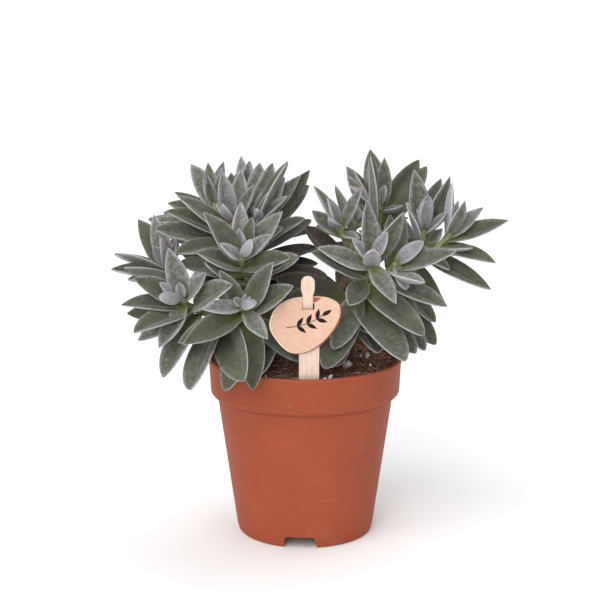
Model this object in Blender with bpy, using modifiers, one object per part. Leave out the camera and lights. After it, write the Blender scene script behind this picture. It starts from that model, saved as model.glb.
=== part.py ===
"""A velvety, grey-green branching succulent in a 9 cm nursery pot, with soil and a plain plant label.

Run with blender --background --python part.py, or from Blender's text editor. Metres, +Z up. The origin
is the middle of the flat disc that the pot stands on, and the front is -Y. Sizes below are in millimetres
unless a name says otherwise, and MM turns them into metres. The pot, the soil, the stick and the card of
the label, and six leafy stems are one object each. The leaves stand in crossed pairs round the shoots.
A leaf that shows from the front is given by where its tip lies, its partner mirrors it in the shoot, and
the rest follow the same crossed pairs with seeded variation.
"""

import math
import random

import bmesh
import bpy
import numpy as np
from mathutils.bvhtree import BVHTree

MM = 0.001
GAP = 0.35

# Pot: heights above the ground, and radii of its outside
POT_HEIGHT = 83.0
RIM_RADIUS = 45.0
RIM_LIP_HEIGHT = 1.8
RIM_LIP_PROUD = 0.35
BAND_BOTTOM = 65.5
BAND_BOTTOM_RADIUS = 44.0
BAND_ROUND = 2.6
NECK_RADIUS = 40.9
FOOT_RADIUS = 31.6
FOOT_ROUND = 1.6
FOOT_RING = 1.8
POT_WALL = 1.1
RIM_WALL = 0.9
BASE_RAISED = 4.6
BASE_THICKNESS = 1.2
STAND_RADIUS = 12.0
POT_SIDES = 40

# Notches in the foot ring, and drain holes in the raised floor
NOTCH_COUNT = 3
NOTCH_BOTTOM_WIDTH = 15.2
NOTCH_TOP_WIDTH = 13.2
NOTCH_HEIGHT = 5.6
NOTCH_ROUND = 1.3
NOTCH_TURN = -4.5
DRAIN_COUNT = 6
DRAIN_RADIUS = 2.8
DRAIN_CIRCLE = 21.0
CUTTER_TURN = 0.13

# Soil
SOIL_EDGE = 80.1
SOIL_MIDDLE = 81.9
SOIL_BUMP = 0.7
SOIL_RINGS = 5

# Label: the stick leans to the front, and its neck goes through the card's slot
LEAN = 9.0
LABEL_X = 1.6
LABEL_Y_AT_RIM = -41.2
STICK_THICKNESS = 1.0
STICK_WIDTH = 8.9
STICK_FOOT = 47.0
STICK_SHOULDER = 111.0
STICK_NECK_WIDTH = 4.4
STICK_NECK_LEFT = 0.6
STICK_HEAD_WIDTH = 5.9
STICK_HEAD_LENGTH = 8.7
STICK_TOP = 131.2
NECK_BEND_BOTTOM = 115.1
NECK_BEND_TOP = 118.7
CARD_THICKNESS = 0.7
CARD_SLOT_LEFT = -3.2
CARD_SLOT_RIGHT = 2.8
CARD_SLOT_BOTTOM = 115.3
CARD_SLOT_TOP = 118.5

# The camera of the photograph looks down by this much: "up" in the tables of leaves is up in that view
VIEW_TILT = math.radians(11.6)
ACROSS = np.array((1.0, 0.0, 0.0))
UP = np.array((0.0, math.sin(VIEW_TILT), math.cos(VIEW_TILT)))
TOWARDS = np.array((0.0, -math.cos(VIEW_TILT), math.sin(VIEW_TILT)))

# Leafy stems: for each one the place where its stem enters the soil, then its shoots. A shoot has its tip,
# its tilt from upright, its heading (0 front, 90 right, 180 back) and, where it branches off, how far up
# the first shoot's stem it does. The first shoot goes down to the soil.
STEMS = {
    "leafy_stem_left_front": ((-9, -13), {
        "C": ((-27, -47, 117), 50, 0, None),
        "B": ((-54, -38, 118), 52, -10, 0.22),
    }),
    "leafy_stem_left_middle": ((-15, -1), {
        "A": ((-28, -38, 137), 40, 0, None),
        "G": ((-63, -10, 127), 40, -75, 0.25),
    }),
    "leafy_stem_left_back": ((-10, 11), {
        "D": ((-33, -12, 149), 15, -10, None),
        "E": ((-21, -6, 149), 40, 70, 0.55),
        "F": ((-42, 6, 154), 20, -110, 0.6),
        "H": ((-28, 15, 156), 8, 180, 0.45),
        "back_left": ((-50, 27, 136), 40, -140, 0.3),
        "back_middle": ((-18, 34, 143), 30, 170, 0.35),
    }),
    "leafy_stem_right_front": ((13, -12), {
        "I": ((29, -34, 135.4), 35, 0, None),
        "N": ((40, -30, 132.4), 38, 40, 0.6),
    }),
    "leafy_stem_right_back": ((6, 3), {
        "J": ((34, -4, 155), 10, 180, None),
        "M": ((15, -16, 147.6), 20, -60, 0.5),
        "back_right": ((24, 30, 142), 35, 165, 0.4),
    }),
    "leafy_stem_right_side": ((21, 2), {
        "K": ((53, -15, 145), 10, 20, None),
        "L": ((65, -18, 144), 35, 80, 0.62),
        "back_side": ((54, 18, 131), 45, 125, 0.35),
    }),
}

# Leaves that show from the front, youngest first. Each row is how far below the shoot's tip the pair
# sits, then the tips of its one or two leaves: across, up and towards the viewer from the shoot's tip, and
# for some by how many degrees the leaf is rolled about its own length. A row of one leaf gets its
# partner by mirroring, unless the shoot's name is in ALONE with that depth.
SEEN = {
    "A": ((0.5, (4.8, 6.2, 7, 180)), (2, (-1, 12, 3)), (3, (-9, 5, 8), (14, 9, 4)), (4, (0, 24, -7, 35)),
          (5, (5, 17, -7)), (6, (-15, 18, 11), (18, 20, -9)), (9, (-18, 1, 13), (21, -1, 14)),
          (11, (18.5, -4.5, 8)), (14, (-27, -3, -2)), (16, (25, -0.5, -3)), (20, (-15, -3, 4)),
          (24, (-20, -9, 0))),
    "B": ((0.5, (-9, 0.5, 7, 180)), (1, (-1, 7, 3)), (3, (-10, 7, 7), (12, 11, 10)),
          (5, (-5, 22, 10), (-9, -22, 10)), (7, (-21, 9, 9)), (9, (-26, -2, 9, 20)),
          (9.5, (-25, -7, -9)), (10, (22, 6, 17)), (11, (-19, -14, 15)), (12, (-20, -19, -6)), (15, (-8, -34, 6)),
          (24, (27, -34, 14), (4, -39, 8))),
    "C": ((0.5, (5.3, 0.3, 8, 180)), (1.5, (-4, 3, 2), (3, 5, 5)), (2, (-17, -2, 9)),
          (4, (-10, 15, 3), (11, -15, 8)), (6, (13, 18, 14), (-25, -17, 13)), (8, (22, 8, 12), (-28, -16, 0)),
          (12, (4, -37, -4)), (18, (-9, -38, -14), (27, -25, -17))),
    "D": ((1, (-7, 7, 3), (-4, 6, 10)), (3, (11, 15, 6), (-4, 21, 9)), (5, (4, 23, -8)),
          (6, (-1, 23, -9)), (7, (-23, 10, 12)), (9, (-28, 4, 14)), (12, (-34, -5, 10)),
          (14, (-23, -16, 12))),
    "E": ((1, (-2, 5, 5), (0, 2, 7)), (4, (12, 18, 6, 35), (13, 9, 8)), (6, (7, 19, -8), (19, 19, 5, 45)),
          (8, (24, 22, -9, 50)), (9, (16, 15, -7, -50)), (10, (0, 27, -9)), (11, (23, 16, -11, 50)),
          (12, (9, 27, -4)), (13, (12, 25, -2, -40)), (14, (17, 9, -14, 55)), (19, (20, 0, 6), (24, 0, -16)),
          (24, (26, -13, -9)), (25, (18, -17, 4)), (26, (27, -20.5, -15)), (28, (31, -27, -6))),
    "F": ((1, (-4, 8, 1)), (3, (-2.6, 12, 4.6), (4, 16, 4)), (5, (-3, 19, -4), (4, 20, 0)),
          (7, (-12, 20, -10)), (8, (-19, 6, -7)), (11, (-23, 2, -14)), (13, (-28, -8, 6)),
          (15, (-25, -3, -14), (-32, -7, -12))),
    "G": ((1, (4, 13, -1), (-5, 9, 6)), (3, (-1, 13, 8), (6, 12, 8)), (5, (-22, 7, 7, 50)),
          (7, (-25, 6, -9, 50)), (8, (-14, 22, -8)), (9, (-24, -2, 8)), (10, (-12, 14, -12)),
          (11, (-16, -5, 11))),
    "H": ((3, (2, 16, 6), (-2, 19, -5)), (6, (2, 18, -10))),
    "I": ((0.5, (0, 3, 9, 180)), (2, (-9, 8, 5), (7, 11, 8)), (4, (-3, 25, 10, 50), (10, -20, 12)),
          (6, (14, 19, 6, 50), (-24, 4, 13)), (8, (1, 19, -14)), (12, (-26, 2, 14)),
          (16, (-10, -20, 12)), (17, (22, -33, 10)), (22, (-17, -40, 0)), (27, (14, -45, 10), (-21, -49, 0)), (30, (20, -41, 2)),
          (30.5, (-42, -9, -22))),
    "N": ((1, (12, 9, 4), (4, -12.5, 6)), (4, (26, 4, 11)), (5, (4, 23, -8)), (6, (-2, 22, -9)),
          (8, (17, -14, -8)), (11, (22, -19, 2))),
    "J": ((1, (2, 8, 4)), (3, (-14, 8, 0), (10, -2, 9)), (4, (2, 21, 3)),
          (6, (-4, 23, -3), (-12, 14, 8)), (8, (-4, 26, -8)), (9, (-15, 18, -11), (19, 21, -7, 40)),
          (11, (-15, 13, -4), (14, 5, -11)), (12, (22, 18, -10))),
    "K": ((1, (2, 15, 5)), (2, (-8, 12, 0)), (4, (12, 24, 0, 50), (-4, 27, -2)),
          (6, (9, 24, -8), (-7, 8, 9)), (7, (15, -12, 6)), (11, (30, -27, 2), (11, -18, 4)), (16, (8, -33, -4)),
          (30, (-4, -47, 2), (7, -42, -14)), (38, (7, -52, -4), (1, -54, 8))),
    "L": ((2, (0, 22, 4, 45)), (3, (4, 15, -4, 40)), (3.5, (14, 11, 4)), (5, (25, 5, 6), (16, 2, -9)),
          (9, (20, -13, 2), (9, -7, 4))),
    "M": ((1, (-5, 2, 7)), (3, (-5, 11, 11), (10, 16, 7)), (5, (-11, 18, -8, 40), (9, -7, 8)),
          (7, (-12, 7, -16)), (18, (9, -38, 14))),
}
ALONE = {"A": (0.5, 2, 4, 5, 11, 14, 16, 20, 24), "B": (0.5, 1, 7, 9, 9.5, 10, 11, 12, 15), "C": (0.5, 2, 12), "D": (5, 6, 7, 9, 12, 14),
         "E": (8, 9, 10, 11, 12, 13, 14, 24, 26, 28), "F": (7, 13), "G": (7, 9, 11), "H": (6,),
         "I": (0.5, 8, 12, 16, 17, 22, 30, 30.5), "N": (4, 6, 11), "J": (1, 4, 8), "K": (7, 16), "L": (2, 3), "M": (1, 7, 18)}

# Crossed pairs of a shoot that doesn't show: depth below the tip, length and opening from the shoot
HIDDEN_PAIRS = ((1, 8, 15), (2, 14, 34), (4, 20, 50), (7, 25, 66), (12, 28, 84))
# Pairs along the stem below the leaves that show, down to just above the soil
LOWER_SPACING = 9.0
LOWER_LENGTH = 29.0
LOWER_OPENING = 82.0
LOWEST_PAIR = 92.0

# How far the upper faces turn from their shoot to the light, which comes from above and the front
LIGHT = np.array((0.0, -0.7, 0.45))

# Share of the triangles kept when the joined stems are thinned of the shortest edges
KEPT_SHARE = 0.92

# Leaf form
WIDTH_PER_LENGTH = 0.29
WIDTH_LEAST = 1.7
WIDER_WITH_AGE = 0.014
BUD_WIDER = 0.3
THICKNESS_LEAST = 1.7
THICKNESS_PER_LENGTH = 0.02
CHANNEL = 0.24
BASE_WIDTH = 0.42
WIDEST_AT = 0.44
TIP_POWER = 2.0
BUD_DEPTH = 2.0
BLUNT_FROM = 6.0
BLUNT_BY = 14.0
SINK = 0.6

# Stem radii, at the tip of a shoot and at the soil
TIP_RADIUS = 1.1
STEM_RADIUS = 3.0
BRANCH_RADIUS = 2.0
HOLE_DEPTH = 18.0


def clear_scene():
    for old in list(bpy.data.objects):
        bpy.data.objects.remove(old)


def new_collection(name):
    collection = bpy.data.collections.new(name)
    bpy.context.scene.collection.children.link(collection)
    return collection


def material(name, colour, roughness):
    made = bpy.data.materials.new(name)
    made.use_nodes = True
    shader = made.node_tree.nodes["Principled BSDF"]
    shader.inputs["Base Color"].default_value = (*colour, 1)
    shader.inputs["Roughness"].default_value = roughness
    return made


def add_object(name, mesh, collection, finish=None):
    obj = bpy.data.objects.new(name, mesh)
    collection.objects.link(obj)
    if finish:
        mesh.materials.clear()
        mesh.materials.append(finish)
    return obj


def object_from_bmesh(name, bm, collection, finish=None):
    mesh = bpy.data.meshes.new(name)
    bm.to_mesh(mesh)
    bm.free()
    return add_object(name, mesh, collection, finish)


def face_outward(bm):
    """Turns the faces of one closed body to look out of it."""
    bmesh.ops.recalc_face_normals(bm, faces=bm.faces)
    if bm.calc_volume(signed=True) < 0:
        bmesh.ops.reverse_faces(bm, faces=bm.faces)


def as_cutter(obj):
    obj.hide_render = True
    obj.display_type = "WIRE"
    return obj


def cut(obj, cutter):
    boolean = obj.modifiers.new("cut " + cutter.name, "BOOLEAN")
    boolean.operation = "DIFFERENCE"
    boolean.object = cutter


def evaluated_mesh(obj, weld=True):
    """The object's mesh with its modifiers applied, and a curve's caps joined to its sides by a weld."""
    graph = bpy.context.evaluated_depsgraph_get()
    mesh = bpy.data.meshes.new_from_object(obj.evaluated_get(graph))
    if not weld:
        return mesh
    bm = bmesh.new()
    bm.from_mesh(mesh)
    bmesh.ops.remove_doubles(bm, verts=bm.verts, dist=0.002 * MM)
    bm.to_mesh(mesh)
    bm.free()
    return mesh


def turned(name, profile, sides, collection, finish):
    """A Screw round Z of a profile of (radius, height) that runs down the outside."""
    bm = bmesh.new()
    points = [bm.verts.new((radius * MM, 0, height * MM)) for radius, height in profile]
    for start, end in zip(points, points[1:]):
        bm.edges.new((start, end))
    obj = object_from_bmesh(name, bm, collection, finish)
    screw = obj.modifiers.new("turn", "SCREW")
    screw.steps = screw.render_steps = sides
    screw.use_merge_vertices = True
    screw.merge_threshold = 0.00001
    screw.use_smooth_shade = True
    return obj


def arc(centre, radius, start, end, count):
    """Points on an arc in the plane of a profile, from one angle in degrees to the other."""
    angles = (math.radians(start + (end - start) * i / (count - 1)) for i in range(count))
    return [(centre[0] + radius * math.cos(a), centre[1] + radius * math.sin(a)) for a in angles]


def cone_radius(height):
    """Radius of the pot's outside below its band."""
    return FOOT_RADIUS + (NECK_RADIUS - FOOT_RADIUS) * height / BAND_BOTTOM


def inner_profile(inset):
    """The pot's inside from its floor up to its top, moved in from the wall by inset."""
    floor = BASE_RAISED + BASE_THICKNESS
    return [
        (cone_radius(floor) - POT_WALL - inset, floor + inset),
        (NECK_RADIUS - POT_WALL - inset, BAND_BOTTOM - 1.0 + inset),
        (BAND_BOTTOM_RADIUS - POT_WALL - inset, BAND_BOTTOM + 1.6 + inset),
        (RIM_RADIUS - RIM_LIP_PROUD - RIM_WALL - inset, POT_HEIGHT),
    ]


def pot_profile():
    floor = BASE_RAISED + BASE_THICKNESS
    lip = RIM_RADIUS - RIM_LIP_PROUD
    corner = (BAND_BOTTOM_RADIUS - BAND_ROUND, BAND_BOTTOM + BAND_ROUND)
    inside = [(0, BASE_THICKNESS), (STAND_RADIUS - 1.4, BASE_THICKNESS), (STAND_RADIUS - 0.6, floor)]
    rim = [(RIM_RADIUS - 0.4, POT_HEIGHT), (RIM_RADIUS, POT_HEIGHT - 0.4),
           (RIM_RADIUS, POT_HEIGHT - RIM_LIP_HEIGHT), (lip, POT_HEIGHT - RIM_LIP_HEIGHT - 0.3)]
    band = arc(corner, BAND_ROUND, 0, -90, 3)
    groove = [(NECK_RADIUS + 0.3, BAND_BOTTOM), (NECK_RADIUS, BAND_BOTTOM - 0.6)]
    foot_centre = (FOOT_RADIUS - FOOT_ROUND, FOOT_ROUND)
    foot = arc(foot_centre, FOOT_ROUND, 0, -90, 3)
    under = [(FOOT_RADIUS - FOOT_RING - 1.2, 0), (FOOT_RADIUS - FOOT_RING - 1.2, BASE_RAISED),
             (STAND_RADIUS + 0.8, BASE_RAISED), (STAND_RADIUS, 0), (0, 0)]
    return inside + inner_profile(0) + rim + band + groove + foot + under


def make_pot(collection, cutters):
    finish = material("terracotta_plastic", (0.43, 0.107, 0.058), 0.55)
    pot = turned("pot", pot_profile(), POT_SIDES, collection, finish)
    for i in range(NOTCH_COUNT):
        bm = bmesh.new()
        bmesh.ops.create_cube(bm, size=1)
        for vert in bm.verts:
            above = vert.co.z > 0
            vert.co.x *= (NOTCH_TOP_WIDTH if above else NOTCH_BOTTOM_WIDTH + 1.5) * MM
            vert.co.y *= 6 * MM
            vert.co.z = (NOTCH_HEIGHT if above else -2) * MM
        top = [edge for edge in bm.edges
               if all(v.co.z > 0 for v in edge.verts) and abs(edge.verts[0].co.x - edge.verts[1].co.x) < MM]
        bmesh.ops.bevel(bm, geom=top, offset=NOTCH_ROUND * MM, segments=3, affect="EDGES", profile=0.5)
        bmesh.ops.recalc_face_normals(bm, faces=bm.faces)
        cutter = as_cutter(object_from_bmesh(f"notch_{i}", bm, cutters))
        angle = math.radians(-90 + NOTCH_TURN + 360 * i / NOTCH_COUNT)
        reach = FOOT_RADIUS - 1.5
        cutter.location = (reach * math.cos(angle) * MM, reach * math.sin(angle) * MM, 0)
        cutter.rotation_euler.z = angle + math.pi / 2
        cut(pot, cutter)
    for i in range(DRAIN_COUNT):
        bm = bmesh.new()
        radius = DRAIN_RADIUS * MM
        bmesh.ops.create_cone(bm, cap_ends=True, segments=12, radius1=radius, radius2=radius, depth=8 * MM)
        cutter = as_cutter(object_from_bmesh(f"drain_{i}", bm, cutters))
        angle = 2 * math.pi * (i + 0.5) / DRAIN_COUNT
        reach = DRAIN_CIRCLE * MM
        cutter.location = (reach * math.cos(angle), reach * math.sin(angle), BASE_RAISED * MM)
        cutter.rotation_euler.z = CUTTER_TURN
        cut(pot, cutter)
    return pot


def soil_height(x, y):
    """Height of the soil in mm at a place in mm: a low mound with two sizes of bump."""
    edge = math.hypot(x, y) / RIM_RADIUS
    mound = SOIL_MIDDLE + (SOIL_EDGE - SOIL_MIDDLE) * edge**2
    coarse = math.sin(x * 0.31 + 1.3) * math.cos(y * 0.27 - 0.4)
    fine = math.sin(x * 0.83 - y * 0.61 + 2.0) * math.cos(y * 0.95 + x * 0.37)
    return mound + SOIL_BUMP * (0.6 * coarse + 0.5 * fine)


def make_soil(collection, cutters):
    finish = material("peat_soil", (0.03, 0.013, 0.009), 0.95)
    wall = inner_profile(GAP)
    slope = (wall[3][0] - wall[2][0]) / (wall[3][1] - wall[2][1])
    edge = wall[2][0] + slope * (SOIL_EDGE - wall[2][1])
    top = [(edge * i / SOIL_RINGS, SOIL_EDGE) for i in range(SOIL_RINGS + 1)]
    drawn = turned("soil", top + [wall[2], wall[1], wall[0], (0, wall[0][1])], 30,
                   collection, finish)
    mesh = evaluated_mesh(drawn)
    bpy.data.objects.remove(drawn)
    for vert in mesh.vertices:
        if vert.co.z > (SOIL_EDGE - 1) * MM:
            vert.co.z = soil_height(vert.co.x / MM, vert.co.y / MM) * MM
    soil = add_object("soil", mesh, collection, finish)
    for name, (root, _) in STEMS.items():
        bm = bmesh.new()
        radius = (STEM_RADIUS + 2 * GAP) * MM
        deep = 2 * HOLE_DEPTH * MM
        bmesh.ops.create_cone(bm, cap_ends=True, segments=12, radius1=radius, radius2=radius, depth=deep)
        cutter = as_cutter(object_from_bmesh("hole_" + name, bm, cutters))
        cutter.location = (root[0] * MM, root[1] * MM, (SOIL_MIDDLE + 1) * MM)
        cutter.rotation_euler.z = CUTTER_TURN
        cut(soil, cutter)
    bm = bmesh.new()
    bmesh.ops.create_cube(bm, size=1)
    for vert in bm.verts:
        vert.co.x *= (STICK_WIDTH + 2 * GAP) * MM
        vert.co.y = (STICK_THICKNESS / 2 + GAP if vert.co.y > 0 else -9) * MM
        vert.co.z = (100 if vert.co.z > 0 else STICK_FOOT - 0.5) * MM
    slot = as_cutter(object_from_bmesh("label_slot", bm, cutters))
    place_label(slot)
    cut(soil, slot)
    return soil


def place_label(obj):
    """Leans a piece of the label, drawn upright in the XZ plane, about the rim's height."""
    lean = math.radians(LEAN)
    pivot = POT_HEIGHT * MM
    obj.rotation_euler.x = lean
    forward = LABEL_Y_AT_RIM * MM + pivot * math.sin(lean)
    obj.location = (LABEL_X * MM, forward, pivot - pivot * math.cos(lean))


def flat_outline(name, points, thickness, collection):
    """A mesh of a flat outline of (x, z) in mm, standing up, of the given thickness."""
    curve = bpy.data.curves.new(name, "CURVE")
    curve.dimensions = "2D"
    curve.fill_mode = "BOTH"
    curve.extrude = thickness / 2 * MM
    spline = curve.splines.new("POLY")
    spline.points.add(len(points) - 1)
    for point, (x, z) in zip(spline.points, points):
        point.co = (x * MM, z * MM, 0, 1)
    spline.use_cyclic_u = True
    drawn = add_object(name, curve, collection)
    mesh = evaluated_mesh(drawn)
    bpy.data.objects.remove(drawn)
    bm = bmesh.new()
    bm.from_mesh(mesh)
    for vert in bm.verts:
        x, z, y = vert.co
        vert.co = (x, y, z)
    face_outward(bm)
    return bm


def neck_shift(z):
    """How far the stick's middle lies in front of its blade at a height, in mm."""
    step = STICK_THICKNESS + CARD_THICKNESS + 2 * GAP
    t = min(1.0, max(0.0, (z - NECK_BEND_BOTTOM) / (NECK_BEND_TOP - NECK_BEND_BOTTOM)))
    return step * t * t * (3 - 2 * t)


def stick_outline():
    half, neck, head = STICK_WIDTH / 2, STICK_NECK_WIDTH / 2, STICK_HEAD_WIDTH / 2
    bulge = STICK_TOP - STICK_HEAD_LENGTH
    blade = [(half, STICK_FOOT + 9), (half, STICK_SHOULDER - 2)]
    blade += arc((half - 2, STICK_SHOULDER - 2), 2, 0, 90, 4)[1:]
    upper = [(neck, STICK_SHOULDER), (neck, bulge), (head, bulge + 2.6)]
    upper += arc((0, STICK_TOP - head), head, 0, 90, 6)
    right = blade + [(x - STICK_NECK_LEFT, z) for x, z in upper]
    left = [(-x - STICK_NECK_LEFT, z) for x, z in reversed(upper[:-1])] + [(-x, z) for x, z in reversed(blade)]
    return [(0, STICK_FOOT)] + right + left


def make_stick(collection):
    finish = material("pale_wood", (0.86, 0.68, 0.5), 0.7)
    bm = flat_outline("label_stick", stick_outline(), STICK_THICKNESS, collection)
    steps = 5
    for i in range(steps + 1):
        height = NECK_BEND_BOTTOM + (NECK_BEND_TOP - NECK_BEND_BOTTOM) * i / steps
        everything = bm.verts[:] + bm.edges[:] + bm.faces[:]
        place = (0, 0, height * MM)
        bmesh.ops.bisect_plane(bm, geom=everything, plane_co=place, plane_no=(0, 0, 1), dist=1e-7)
    for vert in bm.verts:
        vert.co.y -= neck_shift(vert.co.z / MM) * MM
    face_outward(bm)
    stick = object_from_bmesh("label_stick", bm, collection, finish)
    place_label(stick)
    return stick


def card_outline():
    """The card's rounded, lopsided outline, read from a smooth closed curve through its corners."""
    corners = ((-17.3, 107.8), (-14.8, 115.9), (-8.5, 120.3), (0, 121.5), (8.0, 121.0), (13.0, 117.8),
               (13.7, 112.6), (11.0, 106.2), (5.2, 99.2), (-1.8, 95.2), (-8.5, 95.6), (-13.8, 100.6))
    count = len(corners)
    points = []
    for i in range(count):
        a, b, c, d = (corners[(i + k) % count] for k in (-1, 0, 1, 2))
        for t in (0, 0.33, 0.67):
            points.append(tuple(
                0.5 * (2 * b[n] + (c[n] - a[n]) * t + (2 * a[n] - 5 * b[n] + 4 * c[n] - d[n]) * t**2
                       + (3 * b[n] - a[n] - 3 * c[n] + d[n]) * t**3) for n in (0, 1)))
    return points


def make_card(collection, cutters):
    finish = material("kraft_card", (0.77, 0.49, 0.32), 0.85)
    bm = flat_outline("label_card", card_outline(), CARD_THICKNESS, collection)
    forward = (STICK_THICKNESS + CARD_THICKNESS) / 2 + GAP
    bmesh.ops.translate(bm, verts=bm.verts, vec=(0, -forward * MM, 0))
    card = object_from_bmesh("label_card", bm, collection, finish)
    place_label(card)
    bm = bmesh.new()
    bmesh.ops.create_cube(bm, size=1)
    for vert in bm.verts:
        vert.co.x = (CARD_SLOT_RIGHT if vert.co.x > 0 else CARD_SLOT_LEFT) * MM
        vert.co.y = (vert.co.y * 6 - forward) * MM
        vert.co.z = (CARD_SLOT_TOP if vert.co.z > 0 else CARD_SLOT_BOTTOM) * MM
    slot = as_cutter(object_from_bmesh("card_slot", bm, cutters))
    place_label(slot)
    cut(card, slot)
    return card


def unit(vector):
    return vector / np.linalg.norm(vector)


def heading_vector(tilt, heading):
    """A direction by its tilt from upright and its heading in degrees: 0 is the front, 90 the right."""
    tilt, heading = math.radians(tilt), math.radians(heading)
    out = math.sin(tilt)
    return np.array((out * math.sin(heading), -out * math.cos(heading), math.cos(tilt)))


def turn_about(vector, axis, degrees):
    angle = math.radians(degrees)
    along = axis * np.dot(axis, vector)
    return along + (vector - along) * math.cos(angle) + np.cross(axis, vector) * math.sin(angle)


class Shoot:
    """One shoot: a stem curve from its tip down to the soil or to the stem that it branches from."""

    def __init__(self, name, tip, axis, start, start_direction):
        self.name = name
        self.tip = np.array(tip, float)
        self.axis = axis
        reach = np.linalg.norm(self.tip - start)
        self.ends = (start, start + start_direction * reach * 0.4, self.tip - axis * reach * 0.4, self.tip)

    def at(self, t):
        """A point of the stem's Bezier curve, from 0 at its foot to 1 at its tip."""
        a, b, c, d = self.ends
        s = 1 - t
        return a * s**3 + b * 3 * s * s * t + c * 3 * s * t * t + d * t**3

    def below(self, depth):
        """The point and the direction at a distance down the stem from its tip."""
        last, gone = self.tip, 0.0
        for i in range(1, 81):
            point = self.at(1 - i / 80)
            step = np.linalg.norm(point - last)
            if gone + step >= depth:
                return last + (point - last) * (depth - gone) / step, unit(last - point)
            last, gone = point, gone + step
        return last, unit(self.at(0.05) - self.at(0))

    def length(self):
        points = [self.at(i / 40) for i in range(41)]
        return sum(np.linalg.norm(b - a) for a, b in zip(points, points[1:]))


def make_shoots(root, table):
    """The shoots of one leafy stem, the first one up from the soil and the others off it."""
    shoots = []
    for name, (tip, tilt, heading, branch) in table.items():
        axis = heading_vector(tilt, heading)
        if branch is None:
            start = np.array((root[0], root[1], SOIL_MIDDLE + 1.5))
            shoots.append(Shoot(name, tip, axis, start, np.array((0, 0, 1.0))))
        else:
            main = shoots[0]
            start = main.at(branch)
            onward = unit(unit(main.at(branch + 0.05) - start) + unit(np.array(tip, float) - start))
            shoots.append(Shoot(name, tip, axis, start, onward))
    return shoots


class Leaf:
    """A lance-shaped leaf: its foot on the stem, its tip, and the side that its upper face looks to."""

    def __init__(self, shoot, foot, tip, depth, arch, seen, roll=0):
        self.shoot, self.foot, self.tip = shoot, foot, tip
        self.depth, self.arch, self.seen, self.roll = depth, arch, seen, roll
        self.bud = max(0.0, 1 - depth / BUD_DEPTH)
        self.blunt = max(self.bud, min(0.8, max(0.0, (depth - BLUNT_FROM) / BLUNT_BY)))
        self.inward = shoot.below(depth)[1]

    def measure(self):
        """Length, width, thickness, and the frame of chord, side and upper face."""
        chord = self.tip - self.foot
        length = np.linalg.norm(chord)
        along = chord / length
        side = turn_about(unit(np.cross(along, unit(self.inward + LIGHT))), along, self.roll)
        age = 1 + WIDER_WITH_AGE * max(0, self.depth - 6) + BUD_WIDER * self.bud
        width = (WIDTH_LEAST + WIDTH_PER_LENGTH * length) * age
        thickness = THICKNESS_LEAST + THICKNESS_PER_LENGTH * length
        return length, width, thickness, along, side, np.cross(side, along)

    def spine(self, t, size):
        """The middle of the leaf, arched over its chord, and the upper face's direction there."""
        length, _, _, along, _, upper = size
        point = self.foot + along * length * t + upper * length * self.arch * 4 * t * (1 - t)
        slope = self.arch * 4 * (1 - 2 * t)
        return point, unit(upper - along * slope)


def half_width(t, blunt):
    """The outline's half width at a share of the length: 1 at the widest part, 0 at a pointed or a blunt tip."""
    if t < WIDEST_AT:
        return BASE_WIDTH + (1 - BASE_WIDTH) * math.sin(math.pi / 2 * t / WIDEST_AT) ** 1.4
    onward = min(1.0, (t - WIDEST_AT) / (1 - WIDEST_AT))
    return (1 - onward ** (TIP_POWER + 0.9 * blunt)) ** (1 - 0.4 * blunt)


def leaf_mesh(leaf, rings, grow=0.0, start=0.0):
    """A sphere of four sides, drawn out along the leaf. grow swells it all round, for testing clearance."""
    size = leaf.measure()
    length, width, thickness, along, side, _ = size
    bm = bmesh.new()
    bmesh.ops.create_uvsphere(bm, u_segments=4, v_segments=rings, radius=1)
    for vert in bm.verts:
        x, y, z = vert.co
        t = start + (1 - start) * math.acos(max(-1.0, min(1.0, z))) / math.pi
        t = t + 0.05 * math.sin(2 * math.pi * t) * (1 - start)
        point, upper = leaf.spine(t, size)
        if start == 0:
            point = point - along * SINK * max(0, 1 - 6 * t)
        inner = math.hypot(x, y) > 0.01
        if inner and abs(x) > abs(y):
            point = point + side * math.copysign(width / 2 * half_width(t, leaf.blunt) + grow, x)
        elif inner:
            deep = CHANNEL * width / 2 if y > 0 else CHANNEL * width / 2 + thickness
            swell = grow if y > 0 else -grow
            point = point - upper * (deep * half_width(t, leaf.blunt) ** 0.8 - swell)
        vert.co = point * MM
    bmesh.ops.recalc_face_normals(bm, faces=bm.faces)
    return bm


def tree_of(bm):
    return BVHTree.FromBMesh(bm)


def crossing(leaf, placed, other, rings=5):
    """How many placed leaves and pieces a leaf comes too near to: its own stem's, and the others'."""
    outer = leaf_mesh(leaf, rings, grow=0.05, start=0.35)
    whole = leaf_mesh(leaf, rings, grow=GAP)
    outer_tree, whole_tree = tree_of(outer), tree_of(whole)
    outer.free()
    whole.free()
    same = sum(bool(outer_tree.overlap(tree)) for tree in placed)
    apart = sum(bool(whole_tree.overlap(tree)) for tree in other)
    return apart, same


def moved(leaf, towards, turn, opening, scale):
    """A copy of a leaf with its tip moved to the viewer, turned about the shoot, opened or shortened."""
    chord = leaf.tip + TOWARDS * towards - leaf.foot
    if turn:
        chord = turn_about(chord, leaf.inward, turn)
    if opening:
        across = np.cross(leaf.inward, chord)
        chord = turn_about(chord, unit(across), opening)
    return Leaf(leaf.shoot, leaf.foot, leaf.foot + chord * scale, leaf.depth, leaf.arch, leaf.seen, leaf.roll)


SEEN_TRIES = [(towards, 0, 0, 1) for towards in (0, 3, -3, 6, -6, 9, -9, 12)]
SEEN_TRIES += [(towards, turn, 0, 0.93) for turn in (8, -8) for towards in (0, 6, -6)]
SEEN_TRIES += [(towards, 0, 0, scale) for scale in (0.85, 0.72) for towards in (0, 6, -6, 10)]
FREE_TRIES = [(0, turn, opening, scale) for scale in (1, 0.85, 0.7) for turn in (0, 15, -15, 30, -30)
              for opening in (0, 12, -12)]


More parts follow.
